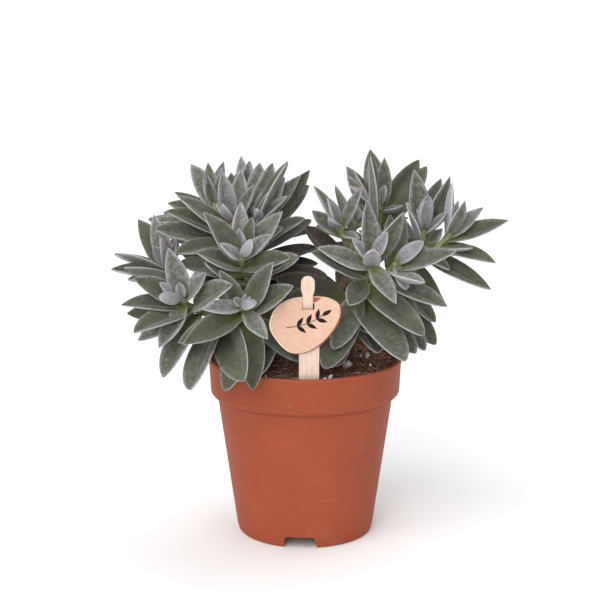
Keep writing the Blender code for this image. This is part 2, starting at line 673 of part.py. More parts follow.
def settle(leaf, placed, other):
    """The first try that crosses nothing, or for a leaf that shows the best one clear of other stems."""
    best, best_cost = None, None
    for towards, turn, opening, scale in SEEN_TRIES if leaf.seen else FREE_TRIES:
        candidate = moved(leaf, towards, turn, opening, scale)
        apart, same = crossing(candidate, placed, other)
        if apart == 0 and same == 0:
            return candidate
        if apart == 0 and leaf.seen and (best is None or same < best_cost):
            best, best_cost = candidate, same
    return best


def seen_leaves(shoot, rng):
    """The leaves of the table, and the partners that mirror them in their shoot."""
    shown, partners = [], []
    for depth, *tips in SEEN.get(shoot.name, ()):
        foot, inward = shoot.below(depth)
        for across, up, towards, *roll in tips:
            tip = shoot.tip + ACROSS * across + UP * up + TOWARDS * towards
            arch = rng.uniform(0.02, 0.07)
            shown.append(Leaf(shoot, foot, tip, depth, arch, True, *roll))
        if len(tips) == 1 and depth not in ALONE.get(shoot.name, ()):
            chord = shown[-1].tip - foot
            mirror = 2 * inward * np.dot(inward, chord) - chord
            partners.append(Leaf(shoot, foot, foot + mirror, depth, rng.uniform(0.02, 0.07), False))
    return shown, partners


def ruled_leaf(shoot, depth, length, opening, turn, arch):
    foot, inward = shoot.below(depth)
    start = unit(np.cross(inward, (0.3, 1.0, 0.2)))
    outward = turn_about(start, inward, turn)
    angle = math.radians(opening)
    chord = inward * math.cos(angle) + outward * math.sin(angle)
    return Leaf(shoot, foot, foot + chord * length, depth, arch, False)


def hidden_leaves(shoot, rng):
    """Crossed pairs of a shoot that doesn't show, each a quarter turn on from the last."""
    leaves = []
    for order, (depth, length, opening) in enumerate(HIDDEN_PAIRS):
        for half in (0, 180):
            turn = 90 * order + half + rng.uniform(-9, 9)
            longer = length * rng.uniform(0.92, 1.08)
            wider = opening + rng.uniform(-7, 7)
            leaves.append(ruled_leaf(shoot, depth, longer, wider, turn, rng.uniform(0.02, 0.08)))
    return leaves


def lower_leaves(shoot, rng):
    """Pairs down a main stem, under the leaves that the table or the hidden pairs give."""
    rows = SEEN.get(shoot.name) or HIDDEN_PAIRS
    depth = max(row[0] for row in rows) + LOWER_SPACING * 0.8
    leaves, order = [], 0
    while depth < shoot.length() and shoot.below(depth)[0][2] > LOWEST_PAIR:
        for half in (0, 180):
            turn = 90 * order + half + rng.uniform(-12, 12)
            leaves.append(ruled_leaf(shoot, depth, LOWER_LENGTH * rng.uniform(0.85, 1.1),
                                     LOWER_OPENING + rng.uniform(-10, 8), turn, rng.uniform(0.03, 0.09)))
        depth += LOWER_SPACING
        order += 1
    return leaves


def stem_object(shoot, main, collection):
    """A tapered tube along the shoot, with six sides, made a mesh."""
    curve = bpy.data.curves.new(shoot.name, "CURVE")
    curve.dimensions = "3D"
    curve.bevel_depth = MM
    curve.bevel_resolution = 1
    curve.use_fill_caps = True
    count = 9 if main else 6
    places = [i / count for i in range(count + 1)]
    points = [(shoot.at(t), 0.0 if main else t) for t in places]
    radii = [(STEM_RADIUS if main else BRANCH_RADIUS) * (1 - t) + TIP_RADIUS * t for t in places]
    if main:
        points.insert(0, (shoot.at(0) - np.array((0, 0, HOLE_DEPTH - 3)), 0))
        radii.insert(0, STEM_RADIUS)
    spline = curve.splines.new("POLY")
    spline.points.add(len(points) - 1)
    for spot, (place, _), radius in zip(spline.points, points, radii):
        spot.co = (*(place * MM), 1)
        spot.radius = radius
    drawn = add_object(shoot.name, curve, collection)
    mesh = evaluated_mesh(drawn)
    bpy.data.objects.remove(drawn)
    return add_object(shoot.name, mesh, collection)


def rings_for(length):
    return 3 if length < 12 else 4


def outer_shell(mesh):
    """Leaves the outer surface of a joined mesh, so the small voids that leaves close between them are solid."""
    bm = bmesh.new()
    bm.from_mesh(mesh)
    waiting, shells = set(bm.verts), []
    while waiting:
        shell, todo = [], [waiting.pop()]
        while todo:
            vert = todo.pop()
            shell.append(vert)
            near = {edge.other_vert(vert) for edge in vert.link_edges} & waiting
            waiting -= near
            todo.extend(near)
        shells.append(shell)
    shells.sort(key=len)
    bmesh.ops.delete(bm, geom=[vert for shell in shells[:-1] for vert in shell], context="VERTS")
    bm.to_mesh(mesh)
    bm.free()


def join(stem_objects, leaves, name, collection, finish):
    """Joins stems and leaves into one closed body by a Boolean union on a collection."""
    pieces = new_collection(name + "_pieces")
    first, *others = stem_objects
    for obj in others:
        collection.objects.unlink(obj)
        pieces.objects.link(obj)
    for i, leaf in enumerate(leaves):
        bm = leaf_mesh(leaf, rings_for(np.linalg.norm(leaf.tip - leaf.foot)))
        object_from_bmesh(f"{name}_leaf_{i}", bm, pieces)
    union = first.modifiers.new("union", "BOOLEAN")
    union.operation = "UNION"
    union.operand_type = "COLLECTION"
    union.collection = pieces
    thin = first.modifiers.new("thin", "DECIMATE")
    thin.ratio = KEPT_SHARE
    mesh = evaluated_mesh(first, weld=False)
    outer_shell(mesh)
    for obj in [first] + list(pieces.objects):
        bpy.data.objects.remove(obj)
    bpy.data.collections.remove(pieces)
    return add_object(name, mesh, collection, finish)


def world_tree(obj):
    """A tree for clearance tests of an object as the viewport evaluates it."""
    graph = bpy.context.evaluated_depsgraph_get()
    bm = bmesh.new()
    bm.from_mesh(bpy.data.meshes.new_from_object(obj.evaluated_get(graph)))
    bm.transform(obj.matrix_world)
    tree = tree_of(bm)
    bm.free()
    return tree


def make_plant(collection, solids):
    """The leafy stems: leaves that show are settled first, then their partners, then the hidden ones."""
    finish = material("velvet_leaf", (0.1, 0.13, 0.09), 0.9)
    bpy.context.view_layer.update()
    fixed = [world_tree(obj) for obj in solids]
    shoots, stems, stem_trees, leaf_trees, leaves = {}, {}, {}, {}, {}
    for name, (root, table) in STEMS.items():
        shoots[name] = make_shoots(root, table)
        stems[name] = [stem_object(shoot, i == 0, collection) for i, shoot in enumerate(shoots[name])]
        stem_trees[name] = [world_tree(obj) for obj in stems[name]]
        leaf_trees[name], leaves[name] = [], []
    rng = random.Random(11)
    waves = {name: ([], [], []) for name in STEMS}
    for name in STEMS:
        for order, shoot in enumerate(shoots[name]):
            shown, partners = seen_leaves(shoot, rng)
            waves[name][0].extend(shown)
            waves[name][1].extend(partners or ([] if shown else hidden_leaves(shoot, rng)))
            if order == 0:
                waves[name][2].extend(lower_leaves(shoot, rng))
    dropped = 0
    for wave in range(3):
        for name in STEMS:
            for leaf in waves[name][wave]:
                other = fixed + [t for n in STEMS if n != name for t in stem_trees[n] + leaf_trees[n]]
                kept = settle(leaf, leaf_trees[name], other)
                if kept is None:
                    dropped += 1
                    continue
                leaves[name].append(kept)
                bm = leaf_mesh(kept, 5)
                leaf_trees[name].append(tree_of(bm))
                bm.free()
    print("leaves", {name: len(found) for name, found in leaves.items()}, "left out", dropped)
    return [join(stems[name], leaves[name], name, collection, finish) for name in STEMS]


def main():
    clear_scene()
    collection = new_collection("potted_succulent")
    cutters = new_collection("cutters")
    pot = make_pot(collection, cutters)
    soil = make_soil(collection, cutters)
    stick = make_stick(collection)
    card = make_card(collection, cutters)
    make_plant(collection, (pot, soil, stick, card))


main()
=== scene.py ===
"""Looks of a velvety branching succulent in a 9 cm nursery pot, with soil and a plain plant label.

Metres, +Z up, and the front is -Y. Sizes below are in millimetres unless a name says otherwise, and MM turns
them into metres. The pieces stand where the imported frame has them: pot, soil, stick, card and six leafy
stems. The leaves follow the same table and the same rule as the frame's, with a finer blade, and hairs.
"""

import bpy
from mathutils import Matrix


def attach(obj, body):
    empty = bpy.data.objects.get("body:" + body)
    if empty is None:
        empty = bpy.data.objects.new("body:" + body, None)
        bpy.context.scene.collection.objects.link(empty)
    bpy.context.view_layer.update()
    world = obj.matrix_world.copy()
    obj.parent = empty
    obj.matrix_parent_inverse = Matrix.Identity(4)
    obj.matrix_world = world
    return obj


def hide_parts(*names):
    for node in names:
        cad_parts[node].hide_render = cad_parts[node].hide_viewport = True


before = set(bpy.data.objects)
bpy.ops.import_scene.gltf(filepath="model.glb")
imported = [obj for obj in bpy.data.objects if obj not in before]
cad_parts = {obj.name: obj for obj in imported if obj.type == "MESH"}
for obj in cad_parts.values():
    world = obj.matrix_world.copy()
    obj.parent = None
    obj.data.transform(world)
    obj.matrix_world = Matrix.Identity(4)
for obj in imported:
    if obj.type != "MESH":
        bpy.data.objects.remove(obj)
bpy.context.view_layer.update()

import math
import random

import bmesh
import bpy
import numpy as np
from bpy.props import FloatProperty, FloatVectorProperty, IntProperty, PointerProperty
from bpy.types import Operator, Panel, PropertyGroup
from mathutils import Matrix, Vector, noise
from mathutils.bvhtree import BVHTree

bl_info = {
    "name": "Potted velvet succulent",
    "version": (1, 0, 0),
    "blender": (4, 5, 0),
    "location": "View3D > Sidebar > Succulent",
    "description": "Pot, soil, label and velvety leafy stems round a packed frame",
    "category": "Object",
}

MM = 0.001
BODY = "root"
# Room that pieces leave one another
GAP = 0.35
# What is strewn or grown by chance draws from these seeds
SOIL_SEED = 5
PLANT_SEED = 11
BLADE_SEED = 23
# A direction that no stem, leaf or fibre runs along
ASIDE = (0.3, 1.0, 0.2)

# Pot: heights above the ground, and radii of its outside
POT_HEIGHT = 83.0
RIM_RADIUS = 45.0
RIM_LIP_HEIGHT = 1.8
RIM_LIP_PROUD = 0.35
RIM_ROUND = 0.5
LIP_ROUND = 0.35
BAND_BOTTOM = 65.5
BAND_BOTTOM_RADIUS = 44.0
BAND_ROUND = 2.6
NECK_RADIUS = 40.9
FOOT_RADIUS = 31.6
FOOT_ROUND = 1.6
FOOT_RING = 1.8
FOOT_LINE = 2.4
POT_WALL = 1.1
RIM_WALL = 0.9
BASE_RAISED = 4.6
BASE_THICKNESS = 1.2
STAND_RADIUS = 12.0
NOTCH_COUNT = 3
NOTCH_BOTTOM_WIDTH = 15.2
NOTCH_TOP_WIDTH = 13.2
NOTCH_HEIGHT = 5.6
NOTCH_ROUND = 1.3
NOTCH_TURN = -4.5
NOTCH_CUT_BELOW = 2.0
NOTCH_CUT_SPARE = 1.5
DRAIN_COUNT = 6
DRAIN_RADIUS = 2.8
DRAIN_CIRCLE = 21.0

# Soil: a grid cut to a disc, with crumbs, grains and fibres strewn as far out as STREWN_REACH and FIBRE_REACH.
# The middles of crumbs and grains lie above the soil's height by these shares of their size
SOIL_EDGE = 80.1
SOIL_MIDDLE = 81.9
SOIL_BUMP = 0.7
SOIL_RADIUS = 43.0
SOIL_GRID = 150
STREWN_REACH = 41.0
FIBRE_REACH = 38.0
FIBRE_STEPS = 16
CRUMB_LIFT = 0.22
GRAIN_LIFT = 0.28
SEEN_LIFT = 0.42

# Grains that lie where the photograph shows them: x, y and the size across. No others lie in the stretch of
# soil that shows, which is what lies in front of a place and between two places across
PERLITE_SEEN = ((19.4, -16.5, 4.0), (11.0, -35.7, 2.3), (8.5, -36.9, 1.4), (26.3, 5.8, 1.3), (-17.5, -31.4, 1.3),
                (-18.8, -18.6, 0.9), (29.9, -14.1, 1.3), (23.6, -36.0, 0.9))
SHOWN_FRONT = -8
SHOWN_LEFT = -20
SHOWN_RIGHT = 34

# Label: the stick leans to the front, and its neck goes through the card's slot
LEAN = 9.0
LABEL_X = 1.6
LABEL_Y_AT_RIM = -41.2
STICK_THICKNESS = 1.0
STICK_WIDTH = 8.9
STICK_FOOT = 47.0
STICK_SHOULDER = 111.0
STICK_NECK_WIDTH = 4.4
STICK_NECK_LEFT = 0.6
STICK_HEAD_WIDTH = 5.9
STICK_HEAD_LENGTH = 8.7
STICK_TOP = 131.2
NECK_BEND_BOTTOM = 115.1
NECK_BEND_TOP = 118.7
CARD_THICKNESS = 0.7
CARD_ROUND = 0.25
CARD_SLOT = ((-2.95, 115.5), (2.2, 118.4))
CARD_CORNERS = ((-17.3, 107.8), (-14.8, 115.9), (-8.5, 120.3), (0, 121.5), (8.0, 121.0), (13.0, 117.8),
                (13.7, 112.6), (11.0, 106.2), (5.2, 99.2), (-1.8, 95.2), (-8.5, 95.6), (-13.8, 100.6))

# The painted shadow of the stick's head on the card beside the neck, and how wide the painted shade line and the
# painted highlight line at the card's edge are
HEAD_SHADOW = ((1.75, 121.3), (1.75, 119.2), (2.2, 118.8), (3.2, 119.3), (5.4, 121.1))
EDGE_SHADE_WIDTH = 0.75
EDGE_HIGHLIGHT_WIDTH = 0.75

# "Up" in the tables of leaves is up in the photograph's view, which looks down by this much
VIEW_TILT = math.radians(11.6)
ACROSS = np.array((1.0, 0.0, 0.0))
UP = np.array((0.0, math.sin(VIEW_TILT), math.cos(VIEW_TILT)))
TOWARDS = np.array((0.0, -math.cos(VIEW_TILT), math.sin(VIEW_TILT)))

# Leafy stems: for each one the place where its stem enters the soil, then its shoots. A shoot has its tip,
# its tilt from upright, its heading (0 front, 90 right, 180 back) and, where it branches off, how far up
# the first shoot's stem it does. The first shoot goes down to the soil.
STEMS = {
    "leafy_stem_left_front": ((-9, -13), {
        "C": ((-27, -47, 117), 50, 0, None),
        "B": ((-54, -38, 118), 52, -10, 0.22),
    }),
    "leafy_stem_left_middle": ((-15, -1), {
        "A": ((-28, -38, 137), 40, 0, None),
        "G": ((-63, -10, 127), 40, -75, 0.25),
    }),
    "leafy_stem_left_back": ((-10, 11), {
        "D": ((-33, -12, 149), 15, -10, None),
        "E": ((-21, -6, 149), 40, 70, 0.55),
        "F": ((-42, 6, 154), 20, -110, 0.6),
        "H": ((-28, 15, 156), 8, 180, 0.45),
        "back_left": ((-50, 27, 136), 40, -140, 0.3),
        "back_middle": ((-18, 34, 143), 30, 170, 0.35),
    }),
    "leafy_stem_right_front": ((13, -12), {
        "I": ((29, -34, 135.4), 35, 0, None),
        "N": ((40, -30, 132.4), 38, 40, 0.6),
    }),
    "leafy_stem_right_back": ((6, 3), {
        "J": ((34, -4, 155), 10, 180, None),
        "M": ((15, -16, 147.6), 20, -60, 0.5),
        "back_right": ((24, 30, 142), 35, 165, 0.4),
    }),
    "leafy_stem_right_side": ((21, 2), {
        "K": ((53, -15, 145), 10, 20, None),
        "L": ((65, -18, 144), 35, 80, 0.62),
        "back_side": ((54, 18, 131), 45, 125, 0.35),
    }),
}

# Leaves that show from the front, youngest first. Each row is how far below the shoot's tip the pair
# sits, then the tips of its one or two leaves: across, up and towards the viewer from the shoot's tip, and
# for some by how many degrees the leaf is rolled about its own length. A row of one leaf gets its
# partner by mirroring, unless the shoot's name is in ALONE with that depth.
SEEN = {
    "A": ((0.5, (4.8, 6.2, 7, 180)), (2, (-1, 12, 3)), (3, (-9, 5, 8), (14, 9, 4)), (4, (0, 24, -7, 35)),
          (5, (5, 17, -7)), (6, (-15, 18, 11), (18, 20, -9)), (9, (-18, 1, 13), (21, -1, 14)),
          (11, (18.5, -4.5, 8)), (14, (-27, -3, -2)), (16, (25, -0.5, -3)), (20, (-15, -3, 4)),
          (24, (-20, -9, 0))),
    "B": ((0.5, (-9, 0.5, 7, 180)), (1, (-1, 7, 3)), (3, (-10, 7, 7), (12, 11, 10)),
          (5, (-5, 22, 10), (-9, -22, 10)), (7, (-21, 9, 9)), (9, (-26, -2, 9, 20)),
          (9.5, (-25, -7, -9)), (10, (22, 6, 17)), (11, (-19, -14, 15)), (12, (-20, -19, -6)),
          (15, (-8, -34, 6)), (24, (27, -34, 14), (4, -39, 8))),
    "C": ((0.5, (5.3, 0.3, 8, 180)), (1.5, (-4, 3, 2), (3, 5, 5)), (2, (-17, -2, 9)),
          (4, (-10, 15, 3), (11, -15, 8)), (6, (13, 18, 14), (-25, -17, 13)), (8, (22, 8, 12), (-28, -16, 0)),
          (12, (4, -37, -4)), (18, (-9, -38, -14), (27, -25, -17))),
    "D": ((1, (-7, 7, 3), (-4, 6, 10)), (3, (11, 15, 6), (-4, 21, 9)), (5, (4, 23, -8)),
          (6, (-1, 23, -9)), (7, (-23, 10, 12)), (9, (-28, 4, 14)), (12, (-34, -5, 10)),
          (14, (-23, -16, 12))),
    "E": ((1, (-2, 5, 5), (0, 2, 7)), (4, (12, 18, 6, 35), (13, 9, 8)), (6, (7, 19, -8), (19, 19, 5, 45)),
          (8, (24, 22, -9, 50)), (9, (16, 15, -7, -50)), (10, (0, 27, -9)), (11, (23, 16, -11, 50)),
          (12, (9, 27, -4)), (13, (12, 25, -2, -40)), (14, (17, 9, -14, 55)), (19, (20, 0, 6), (24, 0, -16)),
          (24, (26, -13, -9)), (25, (18, -17, 4)), (26, (27, -20.5, -15)), (28, (31, -27, -6))),
    "F": ((1, (-4, 8, 1)), (3, (-2.6, 12, 4.6), (4, 16, 4)), (5, (-3, 19, -4), (4, 20, 0)),
          (7, (-12, 20, -10)), (8, (-19, 6, -7)), (11, (-23, 2, -14)), (13, (-28, -8, 6)),
          (15, (-25, -3, -14), (-32, -7, -12))),
    "G": ((1, (4, 13, -1), (-5, 9, 6)), (3, (-1, 13, 8), (6, 12, 8)), (5, (-22, 7, 7, 50)),
          (7, (-25, 6, -9, 50)), (8, (-14, 22, -8)), (9, (-24, -2, 8)), (10, (-12, 14, -12)),
          (11, (-16, -5, 11))),
    "H": ((3, (2, 16, 6), (-2, 19, -5)), (6, (2, 18, -10))),
    "I": ((0.5, (0, 3, 9, 180)), (2, (-9, 8, 5), (7, 11, 8)), (4, (-3, 25, 10, 50), (10, -20, 12)),
          (6, (14, 19, 6, 50), (-24, 4, 13)), (8, (1, 19, -14)), (12, (-26, 2, 14)),
          (16, (-10, -20, 12)), (17, (22, -33, 10)), (22, (-17, -40, 0)),
          (27, (14, -45, 10), (-21, -49, 0)), (30, (20, -41, 2)), (30.5, (-42, -9, -22))),
    "N": ((1, (12, 9, 4), (4, -12.5, 6)), (4, (26, 4, 11)), (5, (4, 23, -8)), (6, (-2, 22, -9)),
          (8, (17, -14, -8)), (11, (22, -19, 2))),
    "J": ((1, (2, 8, 4)), (3, (-14, 8, 0), (10, -2, 9)), (4, (2, 21, 3)),
          (6, (-4, 23, -3), (-12, 14, 8)), (8, (-4, 26, -8)), (9, (-15, 18, -11), (19, 21, -7, 40)),
          (11, (-15, 13, -4), (14, 5, -11)), (12, (22, 18, -10))),
    "K": ((1, (2, 15, 5)), (2, (-8, 12, 0)), (4, (12, 24, 0, 50), (-4, 27, -2)),
          (6, (9, 24, -8), (-7, 8, 9)), (7, (15, -12, 6)), (11, (30, -27, 2), (11, -18, 4)), (16, (8, -33, -4)),
          (30, (-4, -47, 2), (7, -42, -14)), (38, (7, -52, -4), (1, -54, 8))),
    "L": ((2, (0, 22, 4, 45)), (3, (4, 15, -4, 40)), (3.5, (14, 11, 4)), (5, (25, 5, 6), (16, 2, -9)),
          (9, (20, -13, 2), (9, -7, 4))),
    "M": ((1, (-5, 2, 7)), (3, (-5, 11, 11), (10, 16, 7)), (5, (-11, 18, -8, 40), (9, -7, 8)),
          (7, (-12, 7, -16)), (18, (9, -38, 14))),
}
ALONE = {
    "A": (0.5, 2, 4, 5, 11, 14, 16, 20, 24), "B": (0.5, 1, 7, 9, 9.5, 10, 11, 12, 15), "C": (0.5, 2, 12),
    "D": (5, 6, 7, 9, 12, 14), "E": (8, 9, 10, 11, 12, 13, 14, 24, 26, 28), "F": (7, 13), "G": (7, 9, 11),
    "H": (6,), "I": (0.5, 8, 12, 16, 17, 22, 30, 30.5), "N": (4, 6, 11), "J": (1, 4, 8), "K": (7, 16),
    "L": (2, 3), "M": (1, 7, 18),
}

# Crossed pairs of a shoot that doesn't show: depth below the tip, length and opening from the shoot
HIDDEN_PAIRS = ((1, 8, 15), (2, 14, 34), (4, 20, 50), (7, 25, 66), (12, 28, 84))
# Pairs along the stem below the leaves that show, down to just above the soil
LOWER_SPACING = 9.0
LOWER_LENGTH = 29.0
LOWER_OPENING = 82.0
LOWEST_PAIR = 92.0

# How far the upper faces turn from their shoot to the light, which comes from above and the front
LIGHT = np.array((0.0, -0.7, 0.45))

# Leaf form
WIDTH_PER_LENGTH = 0.29
WIDTH_LEAST = 1.7
WIDER_WITH_AGE = 0.014
BUD_WIDER = 0.3
THICKNESS_LEAST = 1.7
THICKNESS_PER_LENGTH = 0.02
CHANNEL = 0.24
BASE_WIDTH = 0.42
WIDEST_AT = 0.44
TIP_POWER = 2.0
BUD_DEPTH = 2.0
BLUNT_FROM = 6.0
BLUNT_BY = 14.0
SINK = 0.6

# Fine form of the blade: the depth down to which leaves count as young, how plump a bud is, the share
# of the thickness in its flanks, how sharp its fold is, and the groove along its upper face and the keel.
# Its rings lie nearer one another to the tip. Leaves get a little slimmer between the two depths of OLD_DEPTH,
# and those of some shoots are slimmer. Some buds start further down the stem, in mm, and are rounder at the
# tip, and a leaf of OTHER_ROLL, by its shoot, depth and roll in the table, has another roll and is slimmer
YOUNG_DEPTH = 6.5
OLD_DEPTH = (9, 21)
BUD_PLUMP = 0.7
FINE_BLUNT = 0.98
SLIMMER_OLD = 0.14
SLIMMER_SHOOTS = {"D": 0.92, "E": 0.8, "F": 0.84, "H": 0.84, "J": 0.9, "K": 0.92, "L": 0.92, "M": 0.9}
LOWER_BUDS = {"I": 6.5}
LOWER_BLUNT = 1.2
OTHER_ROLL = {("I", 4, 50): 8}
SLIMMER_TURNED = 0.8
RINGS_TO_TIP = 1.4
SECTION_POWER = 0.85
FLANK_SHARE = 0.8
FOLD = 0.2
DISH_POWER = 1.25
PILLOW = 0.13
GROOVE_DEPTH = 0.3
GROOVE_WIDTH = 0.12
KEEL_WIDTH = 0.3

# Stems: radii at the tip of a shoot, at the soil and where one branches off, how deep the soil's holes are, the
# collar under each pair of leaves, and how far down from the tip a stem is green
TIP_RADIUS = 1.1
STEM_RADIUS = 3.0
BRANCH_RADIUS = 2.0
HOLE_DEPTH = 18.0
COLLAR = 0.22
COLLAR_LENGTH = 1.3
GREEN_LENGTH = 50.0

# Leaves are painted darker and browner near a middle and low in the plant, as painted shade, and far down their
# shoot, where they are older and shaded. Each pair of limits is where that begins and where it is full, but for the
# reach, within which it is full
SHADED_MIDDLE = (2, -4)
SHADED_REACH = (14, 34)
SHADED_HEIGHT = (146, 132)
SHADED_DEPTH = (8, 24)

# Hairs: their radius, how deep they root, how many a mm of leaf has on its faces, and the lean to the tip
HAIR_RADIUS = 0.028
HAIR_ROOT = 0.05
FACE_HAIRS = 4
HAIR_LEAN = 0.45

# What the colours of leaves and stems read, point by point
FIELDS = ("along", "margin", "under", "young", "dark", "tint")

# Stage, in metres and degrees: where each lamp hangs, how broad it looks and how strong it is
LAMPS = {
    "key_light": ((-0.5, -0.6, 1.0), 45, 1.4),
    "front_light": ((-0.2, -1.0, 0.48), 32, 1.25),
    "top_light": ((0.25, 0.35, 1.0), 60, 0.9),
}
ROOM_LIGHT = 0.5
FLOOR_SIZE = 300
CAMERA_AIM = (-0.00237, 0, 0.1094)
SENSOR_WIDTH = 36


def colour(name, description, default):
    return FloatVectorProperty(name=name, description=description, default=default, subtype="COLOR",
                               size=3, min=0, max=1)


class PotLook(PropertyGroup):
    clay: colour("Plastic", "Terracotta-coloured plastic", (0.333, 0.073, 0.034))
    scuff: colour("Scuffs", "Pale scuffs and dust on the plastic", (0.46, 0.24, 0.18))
    roughness: FloatProperty(name="Roughness", description="How matt the plastic is", default=0.55, min=0, max=1)
    sides: IntProperty(name="Sides", description="Points round the pot", default=144, min=24, max=256)


class SoilLook(PropertyGroup):
    peat: colour("Peat", "Moist brown peat", (0.165, 0.074, 0.050))
    husk: colour("Fibre", "Reddish fibres in the peat", (0.50, 0.24, 0.16))
    perlite: colour("Perlite", "White volcanic grains", (0.97, 0.95, 0.93))
    crumbs: IntProperty(name="Crumbs", description="Loose crumbs on the peat", default=300, min=0, max=800)
    fibres: IntProperty(name="Fibres", description="Fibres on the peat", default=170, min=0, max=600)
    grains: IntProperty(name="Grains", description="Perlite grains beyond those seen", default=22, min=0, max=200)


class LabelLook(PropertyGroup):
    wood: colour("Wood", "Bare pale wood of the stick", (0.75, 0.58, 0.487))
    kraft: colour("Card", "Kraft board of the card", (0.72, 0.470, 0.343))
    # The scorched cut edge's colour, laid also as painted shade along the card's lower right edge and as the painted
    # shadow of the stick's head
    edge_scorch_and_shade: colour("Cut edge", "Scorched edge of the card", (0.24, 0.085, 0.05))
    ink: colour("Ink", "Dark print of the sprig", (0.013, 0.008, 0.007))


class LeafLook(PropertyGroup):
    face: colour("Upper face", "Grown upper face", (0.100, 0.108, 0.072))
    silver: colour("Young leaf", "Silvery velvet of young leaves", (0.36, 0.345, 0.378))
    underside: colour("Underside", "Paler underside", (0.200, 0.207, 0.178))
    margin: colour("Margin", "Pale line along the margin", (0.52, 0.49, 0.49))
    foot: colour("Foot", "Yellow-green foot of a leaf", (0.135, 0.165, 0.036))
    # Dark brown for painted shade on leaves inside and low in the plant, and for age
    age_and_shade: colour("Shaded leaf", "Brownish leaf inside the plant", (0.052, 0.041, 0.036))
    stem_young: colour("Young stem", "Green stem near the tips", (0.26, 0.275, 0.125))
    stem_old: colour("Old stem", "Pinkish brown stem", (0.18, 0.112, 0.08))
    hair: colour("Hair", "Short pale hairs", (0.62, 0.60, 0.62))
    hair_length: FloatProperty(name="Hair length", description="Usual length of a hair", default=0.0004,
                               min=0, max=0.003, unit="LENGTH")
    hair_spacing: FloatProperty(name="Hair spacing", description="Distance between hairs along a margin",
                                default=0.0004, min=0.0002, max=0.01, unit="LENGTH")
    around: IntProperty(name="Around", description="Points round a blade", default=24, min=8, max=64)
    rings: IntProperty(name="Rings", description="Rings along a blade", default=20, min=6, max=64)


class StageLook(PropertyGroup):
    floor: colour("Floor", "Plain pale floor", (0.93, 0.93, 0.93))
    distance: FloatProperty(name="Distance", description="From the camera to what it looks at", default=0.7,
                            min=0.1, max=10, unit="LENGTH")
    elevation: FloatProperty(name="Elevation", description="How far the camera looks down",
                             default=math.radians(11.58), min=0, max=1.5, subtype="ANGLE")
    lens: FloatProperty(name="Lens", description="Focal length on a 36 mm sensor", default=90.876, min=10, max=300,
                        unit="CAMERA")


def deselect():
    if bpy.context.mode != "OBJECT":
        bpy.ops.object.mode_set(mode="OBJECT")
    bpy.ops.object.select_all(action="DESELECT")


def only(piece):
    """Makes a piece the only one selected, and the active one."""
    deselect()
    piece.select_set(True)
    bpy.context.view_layer.objects.active = piece
    return piece


def edit(piece):
    only(piece)
    bpy.ops.object.mode_set(mode="EDIT")
    bpy.ops.mesh.select_all(action="SELECT")


def pick(piece, wanted, kind="verts"):
    """Selects in edit mode the vertices or edges for which wanted is true."""
    bpy.ops.mesh.select_mode(type={"verts": "VERT", "edges": "EDGE"}[kind])
    bpy.ops.mesh.select_all(action="DESELECT")
    bm = bmesh.from_edit_mesh(piece.data)
    for element in getattr(bm, kind):
        if wanted(element):
            element.select = True
    bm.select_flush_mode()
    bmesh.update_edit_mesh(piece.data)


def done(piece):
    bpy.ops.object.mode_set(mode="OBJECT")
    return piece


def face_outward():
    """Turns all faces of the piece in edit mode outwards."""
    bpy.ops.mesh.select_all(action="SELECT")
    bpy.ops.mesh.normals_make_consistent(inside=False)


def clean(piece):
    """Merges doubled points and turns the faces outwards."""
    edit(piece)
    bpy.ops.mesh.remove_doubles(threshold=0.000002)
    face_outward()
    return done(piece)


def start_with(primitive, **settings):
    """Adds a primitive, with nothing else selected, as the start of a piece."""
    deselect()
    primitive(**settings)
    return bpy.context.object


def resize(across, deep, tall, height=0.0):
    """Scales what is selected about a point on the upright axis, at a height in mm."""
    bpy.ops.transform.resize(value=(across, deep, tall), center_override=(0, 0, height * MM))


def extrude_along(profile, radius, height):
    """Extrudes what is selected from point to point of a profile, and resizes it to each radius."""
    for new_radius, new_height in profile:
        lift = {"value": (0, 0, (new_height - height) * MM)}
        bpy.ops.mesh.extrude_region_move(TRANSFORM_OT_translate=lift)
        share = new_radius / radius
        resize(share, share, 1, new_height)
        radius, height = new_radius, new_height


def own_copy(template, places=None):
    """A copy of a template with its own mesh, whose points go to their places in mm where these are given."""
    copied = template.copy()
    copied.data = template.data.copy()
    bpy.context.scene.collection.objects.link(copied)
    if places is not None:
        copied.data.vertices.foreach_set("co", (places * MM).ravel())
    return copied


def settle_place(piece):
    """Moves the object's place, turn and scale into its mesh."""
    only(piece)
    bpy.ops.object.transform_apply(location=True, rotation=True, scale=True)
    return piece


def apply_modifier(piece, kind, **settings):
    only(piece)
    modifier = piece.modifiers.new(kind.lower(), kind)
    for name, value in settings.items():
        setattr(modifier, name, value)
    bpy.ops.object.modifier_apply(modifier=modifier.name)


def smooth(piece, degrees):
    only(piece)
    bpy.ops.object.shade_smooth_by_angle(angle=math.radians(degrees))


def join(pieces):
    deselect()
    for piece in pieces:
        piece.select_set(True)
    bpy.context.view_layer.objects.active = pieces[0]
    bpy.ops.object.join()
    return pieces[0]


def hand_over(piece, name, slot, *nodes):
    """Names a finished piece, hides the frame's nodes that it stands for, and hangs it on the body; the slot is not
    used.
    """
    piece.name = piece.data.name = name
    if nodes:
        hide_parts(*nodes)
    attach(piece, BODY)
    return piece


def remove(*pieces):
    for piece in pieces:
        mesh = piece.data
        bpy.data.objects.remove(piece)
        bpy.data.meshes.remove(mesh)


def share_between(value, none, full):
    """0 at one limit, 1 at the other, and held there beyond them."""
    return min(1.0, max(0.0, (value - none) / (full - none)))


def unit(vector):
    return vector / np.linalg.norm(vector)


def unit_rows(vectors):
    return vectors / np.linalg.norm(vectors, axis=1)[:, None]


def points_at(shares, steps, points):
    """Points of a line at some shares of it, from its points at the steps."""
    return np.stack([np.interp(shares, steps, points[:, i]) for i in range(3)], 1)


